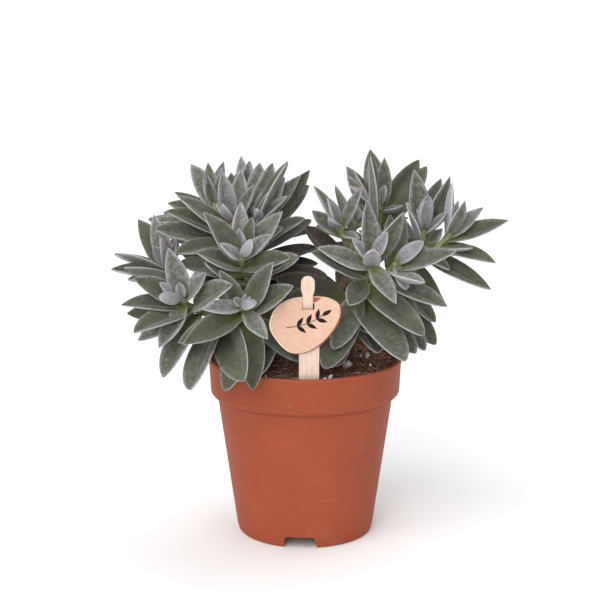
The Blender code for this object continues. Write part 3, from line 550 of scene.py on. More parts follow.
class Finish:
    """A material in the making: nodes are added one by one and joined by their sockets."""

    def __init__(self, name, **constants):
        self.material = bpy.data.materials.new(name)
        self.material.use_nodes = True
        self.tree = self.material.node_tree
        self.shader = self.tree.nodes["Principled BSDF"]
        for socket, value in constants.items():
            self.shader.inputs[socket.replace("_", " ").title().replace("Ior", "IOR")].default_value = value

    def add(self, kind, inputs, **options):
        node = self.tree.nodes.new("ShaderNode" + kind)
        for option, value in options.items():
            setattr(node, option, value)
        for socket, value in inputs.items():
            self.put(value, node.inputs[socket])
        return node

    def put(self, value, socket):
        if isinstance(value, bpy.types.NodeSocket):
            self.tree.links.new(value, socket)
        else:
            socket.default_value = (*value, 1) if socket.type == "RGBA" else value

    def field(self, name):
        return self.add("Attribute", {}, attribute_name=name).outputs["Fac"]

    def place(self, stretch=(1, 1, 1), turn=(0, 0, 0)):
        """Object coordinates, stretched and turned."""
        coordinates = self.add("TexCoord", {}).outputs["Object"]
        return self.add("Mapping", {"Vector": coordinates, "Scale": stretch, "Rotation": turn}).outputs["Vector"]

    def noise(self, per_metre, detail=2.0, rough=0.5, stretch=(1, 1, 1), turn=(0, 0, 0), warp=0.0):
        inputs = {"Vector": self.place(stretch, turn), "Scale": per_metre, "Detail": detail,
                  "Roughness": rough, "Distortion": warp}
        return self.add("TexNoise", inputs).outputs["Fac"]

    def cells(self, per_metre, stretch=(1, 1, 1)):
        return self.add("TexVoronoi", {"Vector": self.place(stretch), "Scale": per_metre}).outputs["Distance"]

    def ease(self, value, low, high, start=0.0, end=1.0):
        """A smooth step of a value between two limits."""
        inputs = {"Value": value, "From Min": low, "From Max": high, "To Min": start, "To Max": end}
        return self.add("MapRange", inputs, interpolation_type="SMOOTHSTEP").outputs["Result"]

    def maths(self, operation, first, second):
        return self.add("Math", {0: first, 1: second}, operation=operation).outputs[0]

    def times(self, first, second):
        return self.maths("MULTIPLY", first, second)

    def sum(self, *values):
        total, *others = values
        for value in others:
            total = self.maths("ADD", total, value)
        return total

    def mix(self, share, first, second):
        return self.add("Mix", {0: share, 6: first, 7: second}, data_type="RGBA").outputs[2]

    def grade(self, base, value):
        """A colour made lighter or darker by a factor."""
        return self.add("HueSaturation", {"Color": base, "Value": value}).outputs[0]

    def shades(self, colour, pattern, low, high, darker, lighter):
        """A colour that goes from a darker to a lighter shade as a pattern goes from one limit to the other."""
        return self.mix(self.ease(pattern, low, high), self.grade(colour, darker), self.grade(colour, lighter))

    def layer(self, base, pattern, low, high, cover, over):
        """A colour laid over the base as a pattern goes from one limit to the other, up to a share of cover."""
        return self.mix(self.times(self.ease(pattern, low, high), cover), base, over)

    def finish(self, base, roughness=None, height=None, distance=0.0001, strength=0.5):
        self.put(base, self.shader.inputs["Base Color"])
        if roughness is not None:
            self.put(roughness, self.shader.inputs["Roughness"])
        if height is not None:
            bump = self.add("Bump", {"Height": height, "Distance": distance, "Strength": strength})
            self.put(bump.outputs[0], self.shader.inputs["Normal"])
        return self.material


def give(piece, material):
    piece.data.materials.clear()
    piece.data.materials.append(material)
    return piece


def arc(centre, radius, start, end, count):
    """Points on an arc in the plane of a profile, from one angle in degrees to the other."""
    angles = (math.radians(start + (end - start) * i / (count - 1)) for i in range(count))
    return [(centre[0] + radius * math.cos(a), centre[1] + radius * math.sin(a)) for a in angles]


def cone_radius(height):
    """Radius of the pot's outside below its band."""
    return FOOT_RADIUS + (NECK_RADIUS - FOOT_RADIUS) * height / BAND_BOTTOM


def pot_profile():
    """Radius and height from the inside of the pot's floor up, over the rim and down to the disc it stands on."""
    floor = BASE_RAISED + BASE_THICKNESS
    lip, lip_foot = RIM_RADIUS - RIM_LIP_PROUD, POT_HEIGHT - RIM_LIP_HEIGHT
    wall = [(STAND_RADIUS - 1.4, BASE_THICKNESS), (STAND_RADIUS - 0.6, floor), (cone_radius(floor) - POT_WALL, floor),
            (NECK_RADIUS - POT_WALL, BAND_BOTTOM - 1.0), (BAND_BOTTOM_RADIUS - POT_WALL, BAND_BOTTOM + 1.6),
            (lip - RIM_WALL, POT_HEIGHT - 0.4)]
    rim = arc((lip - RIM_WALL + RIM_ROUND, POT_HEIGHT - RIM_ROUND), RIM_ROUND, 160, 90, 4)
    rim += arc((RIM_RADIUS - RIM_ROUND, POT_HEIGHT - RIM_ROUND), RIM_ROUND, 90, 0, 5)
    rim += [(RIM_RADIUS, lip_foot + 0.3)]
    rim += arc((RIM_RADIUS - LIP_ROUND, lip_foot + 0.1), LIP_ROUND, -5, -80, 3)
    band = [(lip - 0.03, lip_foot - 0.8)]
    band += arc((BAND_BOTTOM_RADIUS - BAND_ROUND, BAND_BOTTOM + BAND_ROUND), BAND_ROUND, 0, -90, 7)
    neck = [(NECK_RADIUS + 0.2, BAND_BOTTOM + 0.1), (NECK_RADIUS - 0.12, BAND_BOTTOM - 0.1),
            (NECK_RADIUS - 0.16, BAND_BOTTOM - 0.6), (NECK_RADIUS - 0.08, BAND_BOTTOM - 1.1)]
    neck += [(cone_radius(z), z) for z in (BAND_BOTTOM - 1.6, 48, 32, 16, NOTCH_HEIGHT + 1.2, NOTCH_HEIGHT + 0.4)]
    line = [(cone_radius(FOOT_LINE + 0.5), FOOT_LINE + 0.5), (cone_radius(FOOT_LINE) - 0.28, FOOT_LINE)]
    foot = arc((FOOT_RADIUS - FOOT_ROUND, FOOT_ROUND), FOOT_ROUND, 0, -90, 6)
    inner = FOOT_RADIUS - FOOT_RING - 1.2
    under = [(inner, 0), (inner, BASE_RAISED), (STAND_RADIUS + 0.8, BASE_RAISED), (STAND_RADIUS, 0.25),
             (STAND_RADIUS - 0.3, 0)]
    return wall + rim + band + neck + line + foot + under


def round_piece(profile, sides):
    """A closed round piece: a disc at the profile's first point, drawn on from point to point."""
    (radius, height), *rest = profile
    piece = start_with(bpy.ops.mesh.primitive_circle_add, vertices=sides, radius=radius * MM, fill_type="NGON",
                       enter_editmode=True)
    bpy.ops.transform.translate(value=(0, 0, height * MM))
    extrude_along(rest, radius, height)
    face_outward()
    return done(piece)


def cut_out(piece, cutter):
    apply_modifier(piece, "BOOLEAN", operation="DIFFERENCE", object=cutter, solver="EXACT")
    remove(cutter)


def notch_cutter(turn):
    """A block with a narrower, rounded top, across the foot ring and from below the ground."""
    cutter = start_with(bpy.ops.mesh.primitive_cube_add, size=MM, enter_editmode=True)
    breadth = NOTCH_BOTTOM_WIDTH + NOTCH_CUT_SPARE
    resize(breadth, 6, NOTCH_HEIGHT + NOTCH_CUT_BELOW)
    bpy.ops.transform.translate(value=(0, 0, (NOTCH_HEIGHT - NOTCH_CUT_BELOW) / 2 * MM))
    pick(cutter, lambda vert: vert.co.z > 0)
    resize(NOTCH_TOP_WIDTH / breadth, 1, 1)
    pick(cutter, lambda e: all(v.co.z > 0 for v in e.verts) and abs(e.verts[0].co.x - e.verts[1].co.x) < MM, "edges")
    bpy.ops.mesh.bevel(offset=NOTCH_ROUND * MM, segments=5, affect="EDGES", profile=0.5)
    done(cutter)
    reach = (FOOT_RADIUS - 1.5) * MM
    cutter.location = (reach * math.cos(turn), reach * math.sin(turn), 0)
    cutter.rotation_euler.z = turn + math.pi / 2
    return settle_place(cutter)


def pot_finish(look):
    """Matt moulded plastic: faint clouds, a pale dusty bloom, specks and a few scratches."""
    made = Finish("terracotta_plastic", specular_ior_level=0.14)
    clouds = made.noise(38, 3, 0.55)
    base = made.shades(look.clay, clouds, 0.3, 0.75, 0.94, 1.05)
    base = made.layer(base, made.noise(90, 4, 0.7), 0.56, 0.8, 0.16, look.scuff)
    base = made.grade(base, made.ease(made.noise(2600, 2, 0.6), 0.2, 0.8, 0.965, 1.035))
    specks = made.ease(made.cells(150), 0.05, 0.028)
    base = made.layer(base, made.noise(55), 0.55, 0.62, specks, (0.50, 0.40, 0.36))
    spots = made.ease(made.cells(95, stretch=(1, 1.3, 0.8)), 0.03, 0.016)
    base = made.layer(base, made.noise(47, stretch=(1, 1, 1.7)), 0.57, 0.62, spots, (0.12, 0.03, 0.018))
    lines = made.noise(120, 1, 0.5, (0.25, 0.25, 9.0), (0.5, 0.3, 0.2))
    scratch = made.times(made.ease(lines, 0.705, 0.72), made.ease(made.noise(40), 0.56, 0.66))
    base = made.mix(made.times(scratch, 0.35), base, look.scuff)
    rough = made.ease(clouds, 0.2, 0.8, look.roughness - 0.05, look.roughness + 0.06)
    return made.finish(base, rough, made.noise(900, 3, 0.6), 0.00004, 0.35)


class SUCCULENT_OT_pot(Operator):
    """Moulds the pot: rim lip, band, tapered wall, foot ring with notches, and a raised floor with drain holes"""

    bl_idname = "succulent.pot"
    bl_label = "Pot"

    def execute(self, context):
        look = context.scene.pot_look
        pot = round_piece(pot_profile(), look.sides)
        for i in range(NOTCH_COUNT):
            cut_out(pot, notch_cutter(math.radians(-90 + NOTCH_TURN + 360 * i / NOTCH_COUNT)))
        for i in range(DRAIN_COUNT):
            turn = 2 * math.pi * (i + 0.5) / DRAIN_COUNT
            spot = (DRAIN_CIRCLE * math.cos(turn) * MM, DRAIN_CIRCLE * math.sin(turn) * MM, BASE_RAISED * MM)
            drill = start_with(bpy.ops.mesh.primitive_cylinder_add, vertices=24, radius=DRAIN_RADIUS * MM,
                               depth=8 * MM, location=spot, rotation=(0, 0, 0.13))
            cut_out(pot, settle_place(drill))
        smooth(clean(pot), 32)
        give(pot, pot_finish(look))
        hand_over(pot, "nursery_pot", "pot", "pot")
        return {"FINISHED"}


def soil_height(x, y):
    """Height of the soil in mm at a place in mm: a low mound with two sizes of bump."""
    edge = math.hypot(x, y) / RIM_RADIUS
    mound = SOIL_MIDDLE + (SOIL_EDGE - SOIL_MIDDLE) * edge**2
    coarse = math.sin(x * 0.31 + 1.3) * math.cos(y * 0.27 - 0.4)
    fine = math.sin(x * 0.83 - y * 0.61 + 2.0) * math.cos(y * 0.95 + x * 0.37)
    return mound + SOIL_BUMP * (0.6 * coarse + 0.5 * fine)


def crumbly(x, y):
    """Crumbs of peat in mm, above and below the soil's height."""
    lumps = noise.voronoi((x * 0.42, y * 0.42, 3.1))[0]
    small = noise.voronoi((x * 1.05, y * 1.05, 8.7))[0]
    rough = noise.fractal((x * 0.9, y * 0.9, 0.0), 0.8, 2.1, 4)
    return 0.75 * (0.5 - lumps[0]) + 0.35 * (0.4 - small[0]) + 0.22 * rough


def soil_finish(look):
    """Moist peat: light and dark patches, and reddish bits."""
    made = Finish("moist_peat", specular_ior_level=0.3)
    base = made.shades(look.peat, made.noise(620, 4, 0.7), 0.4, 0.62, 0.3, 1.9)
    base = made.layer(base, made.noise(1100, 3, 0.7, warp=0.6), 0.57, 0.65, 0.75, look.husk)
    return made.finish(base, 0.93, made.noise(1500, 4, 0.7), 0.0004, 0.8)


def crumb_template(lumps, seed, level):
    """A ball dented into a crumb or a grain."""
    crumb = start_with(bpy.ops.mesh.primitive_ico_sphere_add, subdivisions=level, radius=0.5, enter_editmode=True)
    resize(1, 0.8, 0.7)
    done(crumb)
    for vert in crumb.data.vertices:
        push = noise.fractal(vert.co * 2.3 + Vector((seed, 0, 0)), 0.9, 2.0, 3)
        vert.co *= 1 + lumps * push
    return crumb


def scatter(templates, places):
    """Copies of the templates at (x, y, height, size) in mm with a turn, as one piece."""
    copies = []
    for i, (x, y, z, size, turn) in enumerate(places):
        copied = own_copy(templates[i % len(templates)])
        spin = Matrix.Rotation(turn, 4, "Z") @ Matrix.Rotation(turn * 2.7, 4, "X")
        copied.data.transform(Matrix.Translation(Vector((x, y, z)) * MM) @ spin @ Matrix.Scale(size * MM, 4))
        copies.append(copied)
    joined = join(copies)
    remove(*templates)
    return joined


def on_soil(draw, reach=STREWN_REACH):
    """A place drawn evenly over the soil."""
    radius, turn = reach * math.sqrt(draw.random()), draw.uniform(0, 2 * math.pi)
    return radius * math.cos(turn), radius * math.sin(turn)


def strewn(draw, count, least, spread, power, lift, hidden=False):
    """Places drawn over the soil for scatter, or only over the soil that doesn't show."""
    places = []
    while len(places) < count:
        x, y = on_soil(draw)
        if hidden and y < SHOWN_FRONT and SHOWN_LEFT < x < SHOWN_RIGHT:
            continue
        size = least + spread * draw.random() ** power
        places.append((x, y, soil_height(x, y) + size * lift, size, draw.uniform(0, 6.3)))
    return places


class SUCCULENT_OT_soil(Operator):
    """Fills the pot with crumbly peat, and lays loose crumbs, fibres and perlite grains on it"""

    bl_idname = "succulent.soil"
    bl_label = "Soil"

    def execute(self, context):
        look = context.scene.soil_look
        peat = soil_finish(look)
        self.fill(peat)
        draw = random.Random(SOIL_SEED)
        crumbs = scatter([crumb_template(0.5, seed, 2) for seed in (1.0, 7.0, 13.0)],
                         strewn(draw, look.crumbs, 0.7, 1.9, 2, CRUMB_LIFT))
        smooth(crumbs, 40)
        hand_over(give(crumbs, peat), "peat_crumbs", "soil")
        self.perlite(look, draw)
        self.fibres(look, draw)
        return {"FINISHED"}

    def fill(self, peat):
        """The body of peat: a grid cut to a disc, roughened, and its rim drawn down to the pot's floor."""
        step = 2 * SOIL_RADIUS / SOIL_GRID
        soil = start_with(bpy.ops.mesh.primitive_grid_add, x_subdivisions=SOIL_GRID, y_subdivisions=SOIL_GRID,
                          size=2 * SOIL_RADIUS * MM)
        edit(soil)
        pick(soil, lambda vert: vert.co.length > (SOIL_RADIUS + step * 0.6) * MM)
        bpy.ops.mesh.delete(type="VERT")
        pick(soil, lambda edge: edge.is_boundary, "edges")
        done(soil)
        for vert in soil.data.vertices:
            reach = vert.co.length / MM
            if vert.select:
                vert.co *= SOIL_RADIUS / reach
            x, y = vert.co.x / MM, vert.co.y / MM
            rough = 0.35 + 0.65 * share_between(reach, SOIL_RADIUS, SOIL_RADIUS - 1.5)
            vert.co.z = (soil_height(x, y) + crumbly(x, y) * rough) * MM
        edit(soil)
        pick(soil, lambda edge: edge.is_boundary, "edges")
        bottom = BASE_RAISED + 1.6
        wall = ((NECK_RADIUS - POT_WALL - GAP, BAND_BOTTOM), (cone_radius(8) - POT_WALL - GAP, bottom))
        extrude_along(wall, SOIL_RADIUS, SOIL_EDGE)
        resize(1, 1, 0, bottom)
        bpy.ops.mesh.edge_face_add()
        face_outward()
        smooth(done(soil), 50)
        hand_over(give(soil, peat), "peat_fill", "soil", "soil")

    def perlite(self, look, draw):
        """White grains: those that show, and more under the leaves."""
        places = [(x, y, soil_height(x, y) + size * SEEN_LIFT, size, x) for x, y, size in PERLITE_SEEN]
        places += strewn(draw, look.grains, 0.8, 2.2, 1.6, GRAIN_LIFT, hidden=True)
        grains = scatter([crumb_template(1.3, seed, 3) for seed in (3.0, 21.0, 34.0, 55.0)], places)
        smooth(grains, 30)
        made = Finish("perlite_grain", specular_ior_level=0.4)
        base = made.mix(made.ease(made.noise(1500, 3), 0.45, 0.75), look.perlite, (0.74, 0.70, 0.67))
        give(grains, made.finish(base, 0.8, made.noise(3000, 3, 0.6), 0.0002, 0.7))
        hand_over(grains, "perlite_grains", "soil")

    def fibres(self, look, draw):
        """Thin bent fibres that lie on the peat or rise from it in a low arch."""
        template = tube_template(4, 8)
        shape = tube_shape(template)
        fibres = []
        for _ in range(look.fibres):
            x, y = on_soil(draw, FIBRE_REACH)
            heading, bend = draw.uniform(0, 6.3), draw.uniform(-0.16, 0.16)
            length, rise = draw.uniform(3, 11), draw.uniform(0.1, 1.1)
            line = []
            for i in range(FIBRE_STEPS + 1):
                x, y = x + math.cos(heading) * length / FIBRE_STEPS, y + math.sin(heading) * length / FIBRE_STEPS
                heading += bend
                line.append((x, y, soil_height(x, y) + 0.35 + rise * math.sin(math.pi * i / FIBRE_STEPS)))
            radius = draw.uniform(0.07, 0.17)
            fibres.append(bent_tube(template, shape, np.array(line), lambda t: radius * (1 - 0.7 * abs(2 * t - 1))))
        joined = join(fibres)
        remove(template)
        made = Finish("peat_fibre", specular_ior_level=0.3)
        base = made.mix(made.ease(made.noise(160, 1), 0.4, 0.62), look.husk, (0.68, 0.48, 0.36))
        give(joined, made.finish(base, 0.8, made.noise(2500, 2), 0.0001, 0.4))
        hand_over(joined, "peat_fibres", "soil")


def tube_template(sides, rings):
    """A closed tube one long and one in radius, cut into rings, to be bent along a line."""
    tube = settle_place(start_with(bpy.ops.mesh.primitive_cylinder_add, vertices=sides, radius=1, depth=1,
                                   location=(0, 0, 0.5)))
    edit(tube)
    pick(tube, lambda edge: abs(edge.verts[0].co.z - edge.verts[1].co.z) > 0.5, "edges")
    bpy.ops.mesh.subdivide(number_cuts=rings - 1)
    return done(tube)


def tube_shape(template):
    """For each point of the tube its share of the length, and its place round it."""
    points = np.array([vert.co for vert in template.data.vertices])
    return np.round(points[:, 2], 5), points[:, 0], points[:, 1]


def bent_tube(template, shape, line, radius):
    """A copy of the tube along a line of points in mm, with a radius by share of the length."""
    share, one, two = shape
    steps = np.linspace(0, 1, len(line))
    centre = points_at(share, steps, line)
    onward = unit_rows(points_at(share, steps, np.gradient(line, axis=0)))
    side = unit_rows(np.cross(onward, ASIDE))
    other = np.cross(onward, side)
    sizes = np.array([radius(t) for t in share])[:, None]
    return own_copy(template, centre + (side * one[:, None] + other * two[:, None]) * sizes)


def place_label(piece):
    """Leans a piece of the label, drawn upright in the XZ plane, about the rim's height."""
    lean = math.radians(LEAN)
    pivot = POT_HEIGHT * MM
    piece.rotation_euler.x = lean
    forward = LABEL_Y_AT_RIM * MM + pivot * math.sin(lean)
    piece.location = (LABEL_X * MM, forward, pivot - pivot * math.cos(lean))
    return settle_place(piece)


def flat_piece(outlines, thickness, rounding, forward=0.0):
    """A flat piece with rounded edges that stands in the XZ plane, from outlines of (x, z) in mm."""
    piece = start_with(bpy.ops.curve.primitive_bezier_circle_add)
    curve = piece.data
    curve.splines.clear()
    curve.dimensions = "2D"
    curve.fill_mode = "BOTH"
    for points in outlines:
        spline = curve.splines.new("POLY")
        spline.points.add(len(points) - 1)
        for point, (x, z) in zip(spline.points, points):
            point.co = (x * MM, z * MM, 0, 1)
        spline.use_cyclic_u = True
    curve.extrude = (thickness / 2 - rounding) * MM
    curve.bevel_depth = rounding * MM
    curve.bevel_resolution = 2
    curve.offset = -rounding * MM
    bpy.ops.object.convert(target="MESH")
    piece.rotation_euler.x = math.pi / 2
    piece.location.y = -forward * MM
    settle_place(piece)
    return clean(piece)


def smooth_closed(corners, steps=6):
    """A smooth closed line through its corners."""
    count = len(corners)
    points = []
    for i in range(count):
        a, b, c, d = (corners[(i + k) % count] for k in (-1, 0, 1, 2))
        for t in (j / steps for j in range(steps)):
            points.append(tuple(
                0.5 * (2 * b[n] + (c[n] - a[n]) * t + (2 * a[n] - 5 * b[n] + 4 * c[n] - d[n]) * t**2
                       + (3 * b[n] - a[n] - 3 * c[n] + d[n]) * t**3) for n in (0, 1)))
    return points


def stick_outline():
    half, neck, head = STICK_WIDTH / 2, STICK_NECK_WIDTH / 2, STICK_HEAD_WIDTH / 2
    bulge = STICK_TOP - STICK_HEAD_LENGTH
    blade = [(half, STICK_FOOT + 9), (half, STICK_SHOULDER - 2)]
    blade += arc((half - 2, STICK_SHOULDER - 2), 2, 0, 90, 6)[1:]
    upper = [(neck, STICK_SHOULDER), (neck, bulge), (neck + 0.3, bulge + 0.9), (head - 0.1, bulge + 2.3),
             (head, bulge + 3.4)]
    upper += arc((0, STICK_TOP - head), head, 0, 90, 9)
    right = blade + [(x - STICK_NECK_LEFT, z) for x, z in upper]
    left = [(-x - STICK_NECK_LEFT, z) for x, z in reversed(upper[:-1])] + [(-x, z) for x, z in reversed(blade)]
    return [(0, STICK_FOOT)] + right + left


def neck_shift(z):
    """How far the stick's middle lies in front of its blade at a height, in mm."""
    t = share_between(z, NECK_BEND_BOTTOM, NECK_BEND_TOP)
    return (STICK_THICKNESS + CARD_THICKNESS + 2 * GAP) * t * t * (3 - 2 * t)


def wood_finish(wood):
    """Pale bare wood, streaked, banded and flecked along the stick."""
    made = Finish("pale_wood", specular_ior_level=0.3)
    lean = (math.radians(LEAN), 0, 0)
    streaks = made.noise(900, 3, 0.6, (1, 1, 0.035), lean, 0.3)
    base = made.shades(wood, streaks, 0.3, 0.7, 0.86, 1.05)
    base = made.layer(base, made.noise(260, 2, 0.5, (1, 1, 0.06), lean), 0.5, 0.75, 0.4, (0.80, 0.52, 0.36))
    base = made.layer(base, made.noise(1900, 2, 0.5, (1, 1, 0.12), lean), 0.6, 0.7, 0.3, (0.55, 0.36, 0.25))
    return made.finish(base, 0.68, streaks, 0.00008, 0.4)


class SUCCULENT_OT_label_stick(Operator):
    """Cuts the wooden stick of the label, and bends its neck through the card"""

    bl_idname = "succulent.label_stick"
    bl_label = "Label stick"

    def execute(self, context):
        stick = flat_piece([stick_outline()], STICK_THICKNESS, 0.22)
        edit(stick)
        for i in range(9):
            height = (NECK_BEND_BOTTOM + (NECK_BEND_TOP - NECK_BEND_BOTTOM) * i / 8) * MM
            bpy.ops.mesh.select_all(action="SELECT")
            bpy.ops.mesh.bisect(plane_co=(0, 0, height), plane_no=(0, 0, 1))
        done(stick)
        for vert in stick.data.vertices:
            vert.co.y -= neck_shift(vert.co.z / MM) * MM
        place_label(clean(stick))
        smooth(stick, 50)
        give(stick, wood_finish(context.scene.label_look.wood))
        hand_over(stick, "wooden_stick", "label_stick", "label_stick")
        return {"FINISHED"}


def leaflet(root, turn, length, width):
    """The outline of one printed leaf."""
    points = []
    for i in range(20):
        t = 2 * i / 20
        share = t if t <= 1 else 2 - t
        half = width / 2 * math.sin(math.pi * share**0.8) * (1 if t <= 1 else -1)
        x = half * math.cos(turn) + share * length * math.sin(turn)
        z = -half * math.sin(turn) + share * length * math.cos(turn)
        points.append((root[0] + x, root[1] + z))
    return points


def edge_line(towards, least, width):
    """A line that follows the card's outline where it looks towards a side, and tapers away from there."""
    outline = np.array(smooth_closed(CARD_CORNERS))
    step = np.roll(outline, -1, axis=0) - np.roll(outline, 1, axis=0)
    outs = unit_rows(np.stack([-step[:, 1], step[:, 0]], 1))
    facing = outs @ np.array(towards)
    start = int(np.argmin(facing))
    outer, inner = [], []
    for i in [*range(start, len(outline)), *range(start)]:
        if facing[i] > least:
            edge = outline[i] - 0.1 * outs[i]
            outer.append(tuple(edge))
            inner.append(tuple(edge - width * (facing[i] - least + 0.05) * outs[i]))
    return outer + inner[::-1]


class SUCCULENT_OT_label_card(Operator):
    """Cuts the kraft card of the label and prints a plain sprig on it"""

    bl_idname = "succulent.label_card"
    bl_label = "Label card"

    def execute(self, context):
        look = context.scene.label_look
        (left, bottom), (right, top) = CARD_SLOT
        slot = [(left, bottom), (left, top), (right, top), (right, bottom)]
        forward = (STICK_THICKNESS + CARD_THICKNESS) / 2 + GAP
        card = flat_piece([smooth_closed(CARD_CORNERS), slot], CARD_THICKNESS, CARD_ROUND, forward)
        kraft, scorch_and_shade = self.kraft_finish(look), self.scorch_and_shade_finish(look)
        card.data.materials.clear()
        card.data.materials.append(kraft)
        card.data.materials.append(scorch_and_shade)
        # The cut edge takes the scorched colour only where it turns away from the light, to the lower right, so it is
        # part scorch and part painted shade; the slot's walls keep the kraft
        for face in card.data.polygons:
            turned_from_light = 0.55 * face.normal.x - 0.83 * face.normal.z
            in_slot = math.hypot(face.center.x, face.center.z - (bottom + top) / 2 * MM) < 4 * MM
            face.material_index = int(abs(face.normal.y) < 0.93 and turned_from_light > 0.12 and not in_slot)
        place_label(card)
        smooth(card, 40)
        hand_over(card, "kraft_card", "label_card", "label_card")
        face = forward + CARD_THICKNESS / 2
        pale = self.edge_highlight_finish(look)
        # Painted on the card's face: the shadow of the stick's head beside the neck, a shade line along the lower
        # right edge and a highlight along the left edge
        marks = [(HEAD_SHADOW, scorch_and_shade), (edge_line((0.8, -0.6), 0.3, EDGE_SHADE_WIDTH), scorch_and_shade),
                 (edge_line((-0.97, -0.25), 0.3, EDGE_HIGHLIGHT_WIDTH), pale)]
        marks = [give(flat_piece([outline], 0.04, 0.01, face + 0.005), finish) for outline, finish in marks]
        hand_over(place_label(join(marks)), "scorch_marks", "label_card")
        self.print_sprig(look, face)
        return {"FINISHED"}

    def kraft_finish(self, look):
        """Kraft board: soft clouds with dark and pale fibres."""
        made = Finish("kraft_board", specular_ior_level=0.25)
        base = made.shades(look.kraft, made.noise(300, 4, 0.65), 0.3, 0.7, 0.93, 1.05)
        dark = made.grade(look.kraft, 0.72)
        base = made.layer(base, made.noise(1500, 3, 0.7, (1, 1, 0.6)), 0.5, 0.66, 0.5, dark)
        base = made.layer(base, made.noise(1700, 2, 0.6, (0.5, 1, 1)), 0.6, 0.72, 0.5, (0.88, 0.66, 0.48))
        return made.finish(base, 0.85, made.noise(2400, 3), 0.00005, 0.5)

    # Scorched edge colour, also used for the painted shade line and the painted shadow of the stick's head
    def scorch_and_shade_finish(self, look):
        made = Finish("scorched_edge", specular_ior_level=0.2)
        burnt = made.ease(made.noise(1500, 2), 0.35, 0.65)
        base = made.mix(burnt, look.edge_scorch_and_shade, made.grade(look.edge_scorch_and_shade, 1.9))
        return made.finish(base, 0.9, made.noise(3000, 2), 0.00005, 0.4)

    # Painted highlight: a pale colour for the strip along the card's left edge, where the light catches it
    def edge_highlight_finish(self, look):
        made = Finish("pale_cut", specular_ior_level=0.25)
        edge = (0.93, 0.76, 0.64)
        base = made.mix(made.ease(made.noise(1500, 3, 0.6), 0.35, 0.65), edge, look.kraft)
        return made.finish(made.mix(0.6, base, edge), 0.85, made.noise(2400, 3), 0.00005, 0.4)

    def print_sprig(self, look, face):
        """A twig with three pairs of leaves and one at its end, printed on the middle of the card."""
        line = [(-9.6, 107.3), (-5.2, 107.9), (-1.0, 109.1), (3.2, 111.2), (5.6, 112.9)]
        upper = [(x, z + 0.16) for x, z in line]
        outlines = [smooth_closed([(x, z - 0.16) for x, z in line] + upper[::-1], 4)]
        for place, *turns in ((1, 32, 128), (2, 24, 118), (3, 12, 106), (4, 58)):
            outlines += [leaflet(line[place], math.radians(turn), 5.0, 1.9) for turn in turns]
        pieces = [flat_piece([outline], 0.06, 0.01, face + 0.01) for outline in outlines]
        sprig = place_label(join(pieces))
        made = Finish("sprig_ink", specular_ior_level=0.2)
        base = made.mix(made.ease(made.noise(1800, 3), 0.45, 0.75), look.ink, made.grade(look.ink, 2.2))
        give(sprig, made.finish(base, 0.8, made.noise(2500, 2), 0.00002, 0.3))
        hand_over(sprig, "printed_sprig", "label_card")


def heading_vector(tilt, heading):
    """A direction by its tilt from upright and its heading in degrees: 0 is the front, 90 the right."""
    tilt, heading = math.radians(tilt), math.radians(heading)
    out = math.sin(tilt)
    return np.array((out * math.sin(heading), -out * math.cos(heading), math.cos(tilt)))


def turn_about(vector, axis, degrees):
    angle = math.radians(degrees)
    along = axis * np.dot(axis, vector)
    return along + (vector - along) * math.cos(angle) + np.cross(axis, vector) * math.sin(angle)


class Shoot:
    """One shoot: a stem curve from its tip down to the soil or to the stem that it branches from."""

    def __init__(self, name, tip, axis, start, start_direction):
        self.name = name
        self.tip = np.array(tip, float)
        self.axis = axis
        reach = np.linalg.norm(self.tip - start)
        self.ends = (start, start + start_direction * reach * 0.4, self.tip - axis * reach * 0.4, self.tip)

    def at(self, t):
        """A point of the stem's Bezier curve, from 0 at its foot to 1 at its tip."""
        a, b, c, d = self.ends
        s = 1 - t
        return a * s**3 + b * 3 * s * s * t + c * 3 * s * t * t + d * t**3

    def below(self, depth):
        """The point and the direction at a distance down the stem from its tip."""
        last, gone = self.tip, 0.0
        for i in range(1, 81):
            point = self.at(1 - i / 80)
            step = np.linalg.norm(point - last)
            if gone + step >= depth:
                return last + (point - last) * (depth - gone) / step, unit(last - point)
            last, gone = point, gone + step
        return last, unit(self.at(0.05) - self.at(0))

    def length(self):
        points = [self.at(i / 40) for i in range(41)]
        return sum(np.linalg.norm(b - a) for a, b in zip(points, points[1:]))


def make_shoots(root, table):
    """The shoots of one leafy stem, the first one up from the soil and the others off it."""
    shoots = []
    for name, (tip, tilt, heading, branch) in table.items():
        axis = heading_vector(tilt, heading)
        if branch is None:
            start = np.array((root[0], root[1], SOIL_MIDDLE + 1.5))
            shoots.append(Shoot(name, tip, axis, start, np.array((0, 0, 1.0))))
        else:
            main = shoots[0]
            start = main.at(branch)
            onward = unit(unit(main.at(branch + 0.05) - start) + unit(np.array(tip, float) - start))
            shoots.append(Shoot(name, tip, axis, start, onward))
    return shoots


